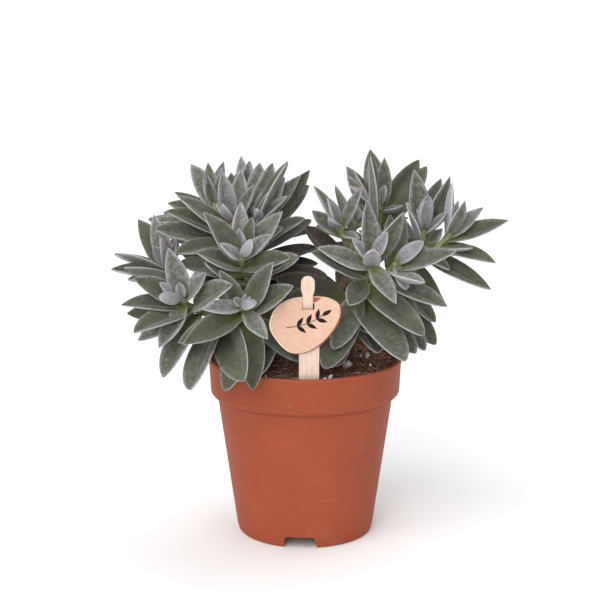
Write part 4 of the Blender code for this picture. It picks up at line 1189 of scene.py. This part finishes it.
class Leaf:
    """A lance-shaped leaf: its foot on the stem, its tip, and the side that its upper face looks to."""

    def __init__(self, shoot, foot, tip, depth, arch, seen, roll=0):
        self.shoot, self.foot, self.tip = shoot, foot, tip
        self.depth, self.arch, self.seen, self.roll = depth, arch, seen, roll
        self.bud = max(0.0, 1 - depth / BUD_DEPTH)
        self.blunt = max(self.bud, min(0.8, max(0.0, (depth - BLUNT_FROM) / BLUNT_BY)))
        self.inward = shoot.below(depth)[1]

    def measure(self):
        """Length, width, thickness, and the frame of chord, side and upper face."""
        chord = self.tip - self.foot
        length = np.linalg.norm(chord)
        along = chord / length
        side = turn_about(unit(np.cross(along, unit(self.inward + LIGHT))), along, self.roll)
        age = 1 + WIDER_WITH_AGE * max(0, self.depth - 6) + BUD_WIDER * self.bud
        width = (WIDTH_LEAST + WIDTH_PER_LENGTH * length) * age
        thickness = THICKNESS_LEAST + THICKNESS_PER_LENGTH * length
        return length, width, thickness, along, side, np.cross(side, along)

    def spine(self, t, size):
        """The middle of the leaf, arched over its chord, and the upper face's direction there."""
        length, _, _, along, _, upper = size
        point = self.foot + along * length * t + upper * length * self.arch * 4 * t * (1 - t)
        slope = self.arch * 4 * (1 - 2 * t)
        return point, unit(upper - along * slope)


def half_width(t, blunt):
    """The outline's half width at shares of the length: 1 at the widest part, 0 at a pointed or a blunt tip."""
    rising = BASE_WIDTH + (1 - BASE_WIDTH) * np.sin(np.pi / 2 * np.minimum(t / WIDEST_AT, 1)) ** 1.4
    onward = np.clip((t - WIDEST_AT) / (1 - WIDEST_AT), 0, 1)
    return np.where(t < WIDEST_AT, rising, (1 - onward ** (TIP_POWER + 0.9 * blunt)) ** (1 - 0.4 * blunt))


def plain_leaf(leaf, rings, grow=0.0, start=0.0):
    """A leaf of four sides for testing clearance, swollen by grow and from a share of its length on."""
    size = leaf.measure()
    length, width, thickness, along, side, _ = size
    bm = bmesh.new()
    bmesh.ops.create_uvsphere(bm, u_segments=4, v_segments=rings, radius=1)
    for vert in bm.verts:
        x, y, z = vert.co
        t = start + (1 - start) * math.acos(max(-1.0, min(1.0, z))) / math.pi
        t = t + 0.05 * math.sin(2 * math.pi * t) * (1 - start)
        point, upper = leaf.spine(t, size)
        if start == 0:
            point = point - along * SINK * max(0, 1 - 6 * t)
        inner = math.hypot(x, y) > 0.01
        if inner and abs(x) > abs(y):
            point = point + side * math.copysign(width / 2 * half_width(t, leaf.blunt) + grow, x)
        elif inner:
            deep = CHANNEL * width / 2 if y > 0 else CHANNEL * width / 2 + thickness
            swell = grow if y > 0 else -grow
            point = point - upper * (deep * half_width(t, leaf.blunt) ** 0.8 - swell)
        vert.co = point * MM
    tree = BVHTree.FromBMesh(bm)
    bm.free()
    return tree


def crossing(leaf, placed, other):
    """How many other pieces a leaf comes too near to, and how many leaves of its own stem it crosses."""
    outer = plain_leaf(leaf, 5, grow=0.05, start=0.35)
    whole = plain_leaf(leaf, 5, grow=GAP)
    same = sum(bool(outer.overlap(tree)) for tree in placed)
    apart = sum(bool(whole.overlap(tree)) for tree in other)
    return apart, same


def moved(leaf, towards, turn, opening, scale):
    """A copy of a leaf with its tip moved to the viewer, turned about the shoot, opened or shortened."""
    chord = leaf.tip + TOWARDS * towards - leaf.foot
    if turn:
        chord = turn_about(chord, leaf.inward, turn)
    if opening:
        across = np.cross(leaf.inward, chord)
        chord = turn_about(chord, unit(across), opening)
    return Leaf(leaf.shoot, leaf.foot, leaf.foot + chord * scale, leaf.depth, leaf.arch, leaf.seen, leaf.roll)


SEEN_TRIES = [(towards, 0, 0, 1) for towards in (0, 3, -3, 6, -6, 9, -9, 12)]
SEEN_TRIES += [(towards, turn, 0, 0.93) for turn in (8, -8) for towards in (0, 6, -6)]
SEEN_TRIES += [(towards, 0, 0, scale) for scale in (0.85, 0.72) for towards in (0, 6, -6, 10)]
FREE_TRIES = [(0, turn, opening, scale) for scale in (1, 0.85, 0.7) for turn in (0, 15, -15, 30, -30)
              for opening in (0, 12, -12)]


def settle(leaf, placed, other):
    """The first try that crosses nothing, or for a leaf that shows the best one clear of other stems."""
    best, best_cost = None, None
    for towards, turn, opening, scale in SEEN_TRIES if leaf.seen else FREE_TRIES:
        candidate = moved(leaf, towards, turn, opening, scale)
        apart, same = crossing(candidate, placed, other)
        if apart == 0 and same == 0:
            return candidate
        if apart == 0 and leaf.seen and (best is None or same < best_cost):
            best, best_cost = candidate, same
    return best


def seen_leaves(shoot, rng):
    """The leaves of the table, and the partners that mirror them in their shoot."""
    shown, partners = [], []
    for depth, *tips in SEEN.get(shoot.name, ()):
        foot, inward = shoot.below(depth)
        for across, up, towards, *roll in tips:
            tip = shoot.tip + ACROSS * across + UP * up + TOWARDS * towards
            arch = rng.uniform(0.02, 0.07)
            shown.append(Leaf(shoot, foot, tip, depth, arch, True, *roll))
        if len(tips) == 1 and depth not in ALONE.get(shoot.name, ()):
            chord = shown[-1].tip - foot
            mirror = 2 * inward * np.dot(inward, chord) - chord
            partners.append(Leaf(shoot, foot, foot + mirror, depth, rng.uniform(0.02, 0.07), False))
    return shown, partners


def ruled_leaf(shoot, depth, length, opening, turn, arch):
    foot, inward = shoot.below(depth)
    start = unit(np.cross(inward, ASIDE))
    outward = turn_about(start, inward, turn)
    angle = math.radians(opening)
    chord = inward * math.cos(angle) + outward * math.sin(angle)
    return Leaf(shoot, foot, foot + chord * length, depth, arch, False)


def hidden_leaves(shoot, rng):
    """Crossed pairs of a shoot that doesn't show, each a quarter turn on from the last."""
    leaves = []
    for order, (depth, length, opening) in enumerate(HIDDEN_PAIRS):
        for half in (0, 180):
            turn = 90 * order + half + rng.uniform(-9, 9)
            longer = length * rng.uniform(0.92, 1.08)
            wider = opening + rng.uniform(-7, 7)
            leaves.append(ruled_leaf(shoot, depth, longer, wider, turn, rng.uniform(0.02, 0.08)))
    return leaves


def lower_leaves(shoot, rng):
    """Pairs down a main stem, under the leaves that the table or the hidden pairs give."""
    rows = SEEN.get(shoot.name) or HIDDEN_PAIRS
    depth = max(row[0] for row in rows) + LOWER_SPACING * 0.8
    leaves, order = [], 0
    while depth < shoot.length() and shoot.below(depth)[0][2] > LOWEST_PAIR:
        for half in (0, 180):
            turn = 90 * order + half + rng.uniform(-12, 12)
            leaves.append(ruled_leaf(shoot, depth, LOWER_LENGTH * rng.uniform(0.85, 1.1),
                                     LOWER_OPENING + rng.uniform(-10, 8), turn, rng.uniform(0.03, 0.09)))
        depth += LOWER_SPACING
        order += 1
    return leaves


def plain_stem(shoot, main):
    """The plain stem of six sides that the leaves keep clear of, as a tree for clearance tests."""
    curve = bpy.data.curves.new(shoot.name, "CURVE")
    curve.dimensions = "3D"
    curve.bevel_depth = MM
    curve.bevel_resolution = 1
    curve.use_fill_caps = True
    count = 9 if main else 6
    places = [i / count for i in range(count + 1)]
    points = [shoot.at(t) for t in places]
    radii = [(STEM_RADIUS if main else BRANCH_RADIUS) * (1 - t) + TIP_RADIUS * t for t in places]
    if main:
        points.insert(0, shoot.at(0) - np.array((0, 0, HOLE_DEPTH - 3)))
        radii.insert(0, STEM_RADIUS)
    spline = curve.splines.new("POLY")
    spline.points.add(len(points) - 1)
    for spot, place, radius in zip(spline.points, points, radii):
        spot.co = (*(place * MM), 1)
        spot.radius = radius
    drawn = bpy.data.objects.new(shoot.name, curve)
    bpy.context.scene.collection.objects.link(drawn)
    tree = world_tree(drawn)
    bpy.data.objects.remove(drawn)
    bpy.data.curves.remove(curve)
    return tree


def world_tree(obj):
    """A tree for clearance tests of an object as the viewport evaluates it."""
    graph = bpy.context.evaluated_depsgraph_get()
    mesh = bpy.data.meshes.new_from_object(obj.evaluated_get(graph))
    bm = bmesh.new()
    bm.from_mesh(mesh)
    tree = BVHTree.FromBMesh(bm)
    bm.free()
    bpy.data.meshes.remove(mesh)
    return tree


def settled_plant():
    """Shoots and leaves of each leafy stem: leaves that show first, then their partners, then lower ones."""
    fixed = [world_tree(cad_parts[name]) for name in ("pot", "soil", "label_stick", "label_card")]
    shoots, stem_trees, leaf_trees, leaves = {}, {}, {}, {}
    for name, (root, table) in STEMS.items():
        shoots[name] = make_shoots(root, table)
        stem_trees[name] = [plain_stem(shoot, i == 0) for i, shoot in enumerate(shoots[name])]
        leaf_trees[name], leaves[name] = [], []
    rng = random.Random(PLANT_SEED)
    waves = {name: ([], [], []) for name in STEMS}
    for name in STEMS:
        for order, shoot in enumerate(shoots[name]):
            shown, partners = seen_leaves(shoot, rng)
            waves[name][0].extend(shown)
            waves[name][1].extend(partners or ([] if shown else hidden_leaves(shoot, rng)))
            if order == 0:
                waves[name][2].extend(lower_leaves(shoot, rng))
    for wave in range(3):
        for name in STEMS:
            for leaf in waves[name][wave]:
                other = fixed + [t for n in STEMS if n != name for t in stem_trees[n] + leaf_trees[n]]
                kept = settle(leaf, leaf_trees[name], other)
                if kept is not None:
                    leaves[name].append(kept)
                    leaf_trees[name].append(plain_leaf(kept, 5))
    print("leaves", {name: len(found) for name, found in leaves.items()})
    return shoots, leaves


class Blade:
    """The skin of one leaf: the plain leaf's form with a rounded section, a groove, a keel, a twist and a curl."""

    def __init__(self, leaf, draw):
        name, row = leaf.shoot.name, (leaf.shoot.name, leaf.depth, leaf.roll)
        lower = LOWER_BUDS.get(name, 0) if leaf.bud and leaf.roll else 0
        leaf = Leaf(leaf.shoot, leaf.foot - leaf.inward * lower, leaf.tip, leaf.depth, leaf.arch, leaf.seen,
                    OTHER_ROLL.get(row, leaf.roll))
        if lower:
            leaf.blunt = LOWER_BLUNT
        self.slim = SLIMMER_SHOOTS.get(name, 1) * (1 - SLIMMER_OLD * share_between(leaf.depth, *OLD_DEPTH))
        self.slim *= SLIMMER_TURNED if row in OTHER_ROLL else 1
        self.leaf = leaf
        self.length, self.width, self.thickness, self.along, self.side, self.upper = leaf.measure()
        self.young = max(0.0, 1 - leaf.depth / YOUNG_DEPTH) ** 1.4
        self.twist = math.radians(draw.uniform(-12, 12))
        self.curl = draw.uniform(-0.05, 0.02) + 0.07 * self.young
        self.sway = draw.uniform(-0.03, 0.03)
        self.tint = draw.uniform(-1, 1)

    def skin(self, t, angle):
        """Points at shares t of the length and angles round it (0 and pi are the margins, pi / 2 the middle of
        the upper face), and how far each lies in from the margin, in mm."""
        leaf, length = self.leaf, self.length
        wide = np.sign(np.cos(angle)) * np.abs(np.cos(angle)) ** SECTION_POWER
        high = np.sign(np.sin(angle)) * np.abs(np.sin(angle)) ** SECTION_POWER
        outline = half_width(t, leaf.blunt * FINE_BLUNT)
        half = self.width / 2 * outline * self.slim
        thick = FLANK_SHARE * self.thickness * outline**0.6 * (1 + BUD_PLUMP * leaf.bud)
        dish = (CHANNEL + FOLD * self.young) * self.width / 2 * outline**0.8 * (1 - BUD_PLUMP * leaf.bud)
        rise = thick / 2 * high - (dish + thick / 2) * (1 - np.abs(wide) ** DISH_POWER)
        middle = np.sin(np.pi * np.clip(t * 1.05, 0, 1)) ** 0.7
        groove = GROOVE_DEPTH * middle * np.exp(-((wide / GROOVE_WIDTH) ** 2)) * (high > 0)
        pillow = PILLOW * self.thickness * middle * np.sin(np.pi * np.abs(wide)) * (high > 0)
        keel = (1 - FLANK_SHARE) * self.thickness * middle * np.exp(-((wide / KEEL_WIDTH) ** 2)) * (high < 0)
        rise = rise + pillow - groove - keel
        slope = leaf.arch * 4 * (1 - 2 * t)
        upper = unit_rows(self.upper - self.along * slope[:, None])
        turn = self.twist * (t - 0.35)
        side = self.side * np.cos(turn)[:, None] + upper * np.sin(turn)[:, None]
        face = upper * np.cos(turn)[:, None] - self.side * np.sin(turn)[:, None]
        lift = length * (leaf.arch * 4 * t * (1 - t) + self.curl * np.clip((t - 0.6) / 0.4, 0, 1) ** 2)
        sunk = length * t - SINK * np.maximum(0, 1 - 6 * t)
        aside = length * self.sway * 4 * t * (1 - t)
        centre = leaf.foot + self.along * sunk[:, None] + self.upper * lift[:, None] + self.side * aside[:, None]
        inside = np.minimum(half * (1 - np.abs(wide)), (1 - t) * length * 0.8)
        return centre + side * (half * wide)[:, None] + face * rise[:, None], inside

    def outward(self, t, angle):
        """Directions out of the skin."""
        small = 0.02
        here, _ = self.skin(t, angle)
        round_it = self.skin(t, angle + small)[0] - here
        onward = self.skin(np.minimum(t + small, 0.999), angle)[0] - here
        out = np.cross(onward, round_it)
        return here, out / np.maximum(np.linalg.norm(out, axis=1), 1e-9)[:, None]

    def fields(self, t, angle, inside):
        """What the leaf's colours read, point by point."""
        # Painted shade: a mask that darkens leaves near the plant's middle and low in it, more so the older ones
        x, y, z = (self.leaf.foot + self.leaf.tip) / 2
        inner = 1 - share_between(math.hypot(x - SHADED_MIDDLE[0], y - SHADED_MIDDLE[1]), *SHADED_REACH)
        age_and_shade = share_between(self.leaf.depth, *SHADED_DEPTH)
        low = share_between(z, *SHADED_HEIGHT)
        same = np.ones_like(t)
        return {
            "along": t,
            "margin": inside,
            "under": np.clip(0.5 - 3 * np.sin(angle), 0, 1),
            "young": same * self.young,
            "dark": same * inner * low * (0.45 + 0.55 * age_and_shade),
            "tint": same * self.tint,
        }


def blade_template(around, rings):
    """A ball whose poles become the foot and the tip of a leaf, and its fields for colour."""
    ball = start_with(bpy.ops.mesh.primitive_uv_sphere_add, segments=around, ring_count=rings, radius=1)
    for field in FIELDS:
        ball.data.attributes.new(field, "FLOAT", "POINT")
    points = np.array([vert.co for vert in ball.data.vertices])
    t = 1 - (1 - np.arccos(np.clip(points[:, 2], -1, 1)) / np.pi) ** RINGS_TO_TIP
    angle = np.arctan2(points[:, 1], points[:, 0])
    poles = np.hypot(points[:, 0], points[:, 1]) < 1e-4
    bpy.ops.object.shade_smooth()
    return ball, t, angle, poles


def bent_blade(template, blade, material):
    """A copy of the ball in the form of a leaf, with what its colours read."""
    ball, t, angle, poles = template
    places, inside = blade.skin(t, angle)
    flat, _ = blade.skin(t, np.where(angle > 0, np.pi / 2, -np.pi / 2))
    places[poles] = (flat[poles] + blade.skin(t, np.full_like(t, -np.pi / 2))[0][poles]) / 2
    bent = own_copy(ball, places)
    for field, values in blade.fields(t, angle, inside).items():
        bent.data.attributes[field].data.foreach_set("value", values.astype(np.float32))
    return give(bent, material)


def fine_stem(template, shape, shoot, main, leaves, material):
    """A stem with a rounded tip and a slight collar under each pair of leaves."""
    count = 60
    line = [shoot.at(i / count) for i in range(count + 1)]
    if main:
        line = [shoot.at(0) - np.array((0, 0, HOLE_DEPTH - 3)) * (1 - i / 8) for i in range(8)] + line
    line = np.array(line)
    steps = np.linalg.norm(np.diff(line, axis=0), axis=1)
    length = steps.sum()
    line = points_at(np.linspace(0, length, 80), np.concatenate([[0], np.cumsum(steps)]), line)
    foot = STEM_RADIUS if main else BRANCH_RADIUS
    depths = sorted({leaf.depth for leaf in leaves if leaf.shoot is shoot})

    def radius(t):
        depth = (1 - t) * length
        size = foot + (TIP_RADIUS - foot) * min(1.0, t * (1.15 if main else 1))
        for pair in depths:
            size += COLLAR * math.exp(-(((depth - pair) / COLLAR_LENGTH) ** 2))
        return size * min(1.0, 0.15 + depth / 0.9) ** 0.5

    bent = give(bent_tube(template, shape, line, radius), material)
    share = shape[0]
    values = {"along": share, "young": np.clip(1 - (1 - share) * length / GREEN_LENGTH, 0, 1)}
    for field in FIELDS:
        attribute = bent.data.attributes.new(field, "FLOAT", "POINT")
        attribute.data.foreach_set("value", values.get(field, np.zeros_like(share)).astype(np.float32))
    only(bent)
    bpy.ops.object.shade_smooth()
    return bent


def hair_piece(blades, look, draw):
    """Short hairs as slim closed cones of three sides: rows along the margins, and a few on the faces."""
    roots, ends = [], []
    spacing, usual = look.hair_spacing / MM, look.hair_length / MM
    for blade in blades:
        on_margin = int(2 * blade.length / spacing)
        on_faces = int(blade.length * FACE_HAIRS)
        t = np.array([draw.uniform(0.06, 0.985) for _ in range(on_margin)]
                     + [draw.uniform(0.05, 0.95) for _ in range(on_faces)])
        angle = np.array([draw.choice((0, math.pi)) + draw.gauss(0, 0.22) for _ in range(on_margin)]
                         + [draw.uniform(-math.pi, math.pi) for _ in range(on_faces)])
        place, out = blade.outward(t, angle)
        loose = np.array([[draw.gauss(0, 0.3) for _ in range(3)] for _ in range(len(t))])
        direction = unit_rows(out + HAIR_LEAN * blade.along + loose)
        size = np.array([usual * draw.uniform(0.55, 1.3) for _ in range(len(t))])
        roots.append(place - out * HAIR_ROOT)
        ends.append(place + direction * size[:, None])
    roots, ends = np.concatenate(roots), np.concatenate(ends)
    axis = unit_rows(ends - roots)
    side = unit_rows(np.cross(axis, (0.31, 0.52, 0.79)))
    other = np.cross(axis, side)
    corners = []
    for i in range(3):
        turn = 2 * math.pi * i / 3
        corners.append(roots + (side * math.cos(turn) + other * math.sin(turn)) * HAIR_RADIUS)
    points = np.stack(corners + [ends], 1).reshape(-1, 3)
    start = 4 * np.arange(len(roots))[:, None]
    faces = np.concatenate([start + f for f in ((0, 1, 3), (1, 2, 3), (2, 0, 3), (2, 1, 0))])
    mesh = bpy.data.meshes.new("hairs")
    mesh.from_pydata((points * MM).tolist(), [], faces.tolist())
    hairs = bpy.data.objects.new("hairs", mesh)
    bpy.context.scene.collection.objects.link(hairs)
    return hairs


def leaf_finish(look):
    """Velvet over grey-green: silver hairs, thicker on young leaves and undersides, a silver halo near the margins
    that is partly velvet and partly painted sheen, a pale rim, a yellower foot, and painted shade that darkens leaves
    inside the plant.
    """
    made = Finish("velvet_leaf", specular_ior_level=0.12, sheen_weight=0.6, sheen_roughness=0.32,
                  sheen_tint=(0.88, 0.84, 0.88, 1))
    along, margin, under, young, dark, tint = (made.field(name) for name in FIELDS)
    base = made.shades(look.face, made.noise(170, 3, 0.6), 0.35, 0.68, 0.86, 1.12)
    base = made.layer(base, along, 0.45, 0.05, 0.85, look.foot)
    base = made.mix(made.times(under, 0.75), base, look.underside)
    fuzz = made.noise(1700, 3, 0.8)
    # Silver cover: young leaves, undersides and random mottling, and a halo within 2 mm of the margins that is partly
    # real velvet and partly painted sheen
    cover = made.sum(made.times(young, 0.82), made.times(under, 0.12), made.times(tint, 0.17),
                     made.times(made.ease(margin, 2.0, 0.2), 0.3),
                     made.ease(made.noise(430, 3, 0.7), 0.3, 0.7, -0.1, 0.2), made.ease(fuzz, 0.3, 0.7, -0.08, 0.12))
    base = made.layer(base, cover, 0.0, 1.0, made.ease(along, 0.02, 0.34, 0.1, 0.95), look.silver)
    # Painted shade: leaves inside and low in the plant, older ones the most, mix towards a dark brown
    base = made.mix(made.times(dark, made.ease(along, 0.05, 0.4, 0.3, 0.88)), base, look.age_and_shade)
    line = made.times(made.ease(margin, 0.27, 0.09), made.ease(along, 0.05, 0.3, 0.1, 0.85))
    # The pale margin line dims where the painted shade lies
    lit = made.maths("SUBTRACT", 1.0, made.times(dark, 0.75))
    base = made.mix(made.times(line, lit), base, look.margin)
    base = made.layer(base, along, 0.965, 0.995, 0.4, (0.22, 0.15, 0.12))
    dust = made.times(made.ease(made.cells(520), 0.09, 0.05), made.ease(made.noise(90), 0.52, 0.62))
    base = made.mix(made.times(dust, 0.55), base, look.margin)
    base = made.grade(base, made.ease(fuzz, 0.32, 0.68, 0.84, 1.17))
    base = made.grade(base, made.add("MapRange", {"Value": tint, "From Min": -1.0, "From Max": 1.0,
                                                  "To Min": 0.89, "To Max": 1.11}).outputs["Result"])
    return made.finish(base, 0.85, fuzz, 0.0003, 0.5)


def stem_finish(look):
    """Stem skin that goes from green near the tips to pinkish brown, with fine bark."""
    made = Finish("stem_skin", specular_ior_level=0.25, sheen_weight=0.3, sheen_roughness=0.4,
                  sheen_tint=(0.85, 0.8, 0.8, 1))
    blotch = made.sum(made.field("young"), made.ease(made.noise(260, 3, 0.6), 0.3, 0.7, -0.25, 0.25))
    base = made.mix(made.ease(blotch, 0.25, 0.8), look.stem_old, look.stem_young)
    bark = made.noise(900, 3, 0.7, (1, 1, 0.4))
    base = made.grade(base, made.ease(bark, 0.3, 0.7, 0.75, 1.15))
    return made.finish(base, 0.75, bark, 0.0003, 0.6)


def hair_finish(look):
    made = Finish("pale_hair", specular_ior_level=0.3)
    shade = made.ease(made.noise(400, 2), 0.35, 0.65)
    return made.finish(made.mix(shade, look.hair, made.grade(look.hair, 0.8)), 0.7)


class SUCCULENT_OT_leafy_stems(Operator):
    """Grows the six leafy stems with velvety blades, and their short hairs"""

    bl_idname = "succulent.leafy_stems"
    bl_label = "Leafy stems"

    def execute(self, context):
        look = context.scene.leaf_look
        shoots, leaves = settled_plant()
        draw = random.Random(BLADE_SEED)
        velvet, skin, fluff = leaf_finish(look), stem_finish(look), hair_finish(look)
        template = blade_template(look.around, look.rings)
        tube = tube_template(14, 60)
        shape = tube_shape(tube)
        for name in STEMS:
            blades = [Blade(leaf, draw) for leaf in leaves[name]]
            parts = [fine_stem(tube, shape, shoot, i == 0, leaves[name], skin)
                     for i, shoot in enumerate(shoots[name])]
            parts += [bent_blade(template, blade, velvet) for blade in blades]
            hand_over(join(parts), "velvet_" + name, "leaves", name)
            hairs = give(hair_piece(blades, look, draw), fluff)
            hand_over(hairs, "hairs_" + name, "leaves")
        remove(template[0], tube)
        return {"FINISHED"}


def turn_to_look(thing, away):
    """Turns a camera or a lamp to look back along the direction in which it stands away."""
    thing.rotation_euler = (-away).to_track_quat("-Z", "Y").to_euler()


class SUCCULENT_OT_stage(Operator):
    """Lays a plain pale floor, hangs soft lights and sets the camera"""

    bl_idname = "succulent.stage"
    bl_label = "Stage"

    def execute(self, context):
        scene, look = context.scene, context.scene.stage_look
        floor = start_with(bpy.ops.mesh.primitive_plane_add, size=FLOOR_SIZE)
        floor.name = "pale_floor"
        made = Finish("pale_floor", specular_ior_level=0.1)
        give(floor, made.finish(look.floor, 0.9))
        scene.world = bpy.data.worlds.new("white_room")
        scene.world.use_nodes = True
        background = scene.world.node_tree.nodes["Background"].inputs
        background["Color"].default_value = (1, 1, 1, 1)
        background["Strength"].default_value = ROOM_LIGHT
        for name, (towards, breadth, strength) in LAMPS.items():
            lamp = start_with(bpy.ops.object.light_add, type="SUN", location=towards)
            lamp.name = name
            lamp.data.angle = math.radians(breadth)
            lamp.data.energy = strength
            turn_to_look(lamp, Vector(towards))
        camera = start_with(bpy.ops.object.camera_add)
        camera.name = "photo_camera"
        camera.data.sensor_width = SENSOR_WIDTH
        camera.data.lens = look.lens
        away = Vector((0, -math.cos(look.elevation), math.sin(look.elevation)))
        camera.location = Vector(CAMERA_AIM) + away * look.distance
        turn_to_look(camera, away)
        scene.camera = camera
        scene.view_settings.view_transform = "Standard"
        return {"FINISHED"}


class SUCCULENT_PT_panel(Panel):
    """Lists the pieces in the 3D view's sidebar"""

    bl_idname = "SUCCULENT_PT_panel"
    bl_label = "Potted succulent"
    bl_space_type = "VIEW_3D"
    bl_region_type = "UI"
    bl_category = "Succulent"

    def draw(self, context):
        for operator in OPERATORS:
            self.layout.operator(operator.bl_idname)
        for look in LOOKS:
            box = self.layout.box()
            for name in LOOKS[look].__annotations__:
                box.prop(getattr(context.scene, look), name)


LOOKS = {"pot_look": PotLook, "soil_look": SoilLook, "label_look": LabelLook, "leaf_look": LeafLook,
         "stage_look": StageLook}
OPERATORS = (SUCCULENT_OT_pot, SUCCULENT_OT_soil, SUCCULENT_OT_label_stick, SUCCULENT_OT_label_card,
             SUCCULENT_OT_leafy_stems, SUCCULENT_OT_stage)


def register():
    for name, look in LOOKS.items():
        bpy.utils.register_class(look)
        setattr(bpy.types.Scene, name, PointerProperty(type=look))
    for entry in (*OPERATORS, SUCCULENT_PT_panel):
        bpy.utils.register_class(entry)


def unregister():
    for entry in (SUCCULENT_PT_panel, *reversed(OPERATORS)):
        bpy.utils.unregister_class(entry)
    for name, look in LOOKS.items():
        delattr(bpy.types.Scene, name)
        bpy.utils.unregister_class(look)


def main():
    register()
    bpy.ops.succulent.pot()
    bpy.ops.succulent.soil()
    bpy.ops.succulent.label_stick()
    bpy.ops.succulent.label_card()
    bpy.ops.succulent.leafy_stems()
    bpy.ops.succulent.stage()
    bpy.context.view_layer.update()
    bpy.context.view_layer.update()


if __name__ == "__main__":
    main()
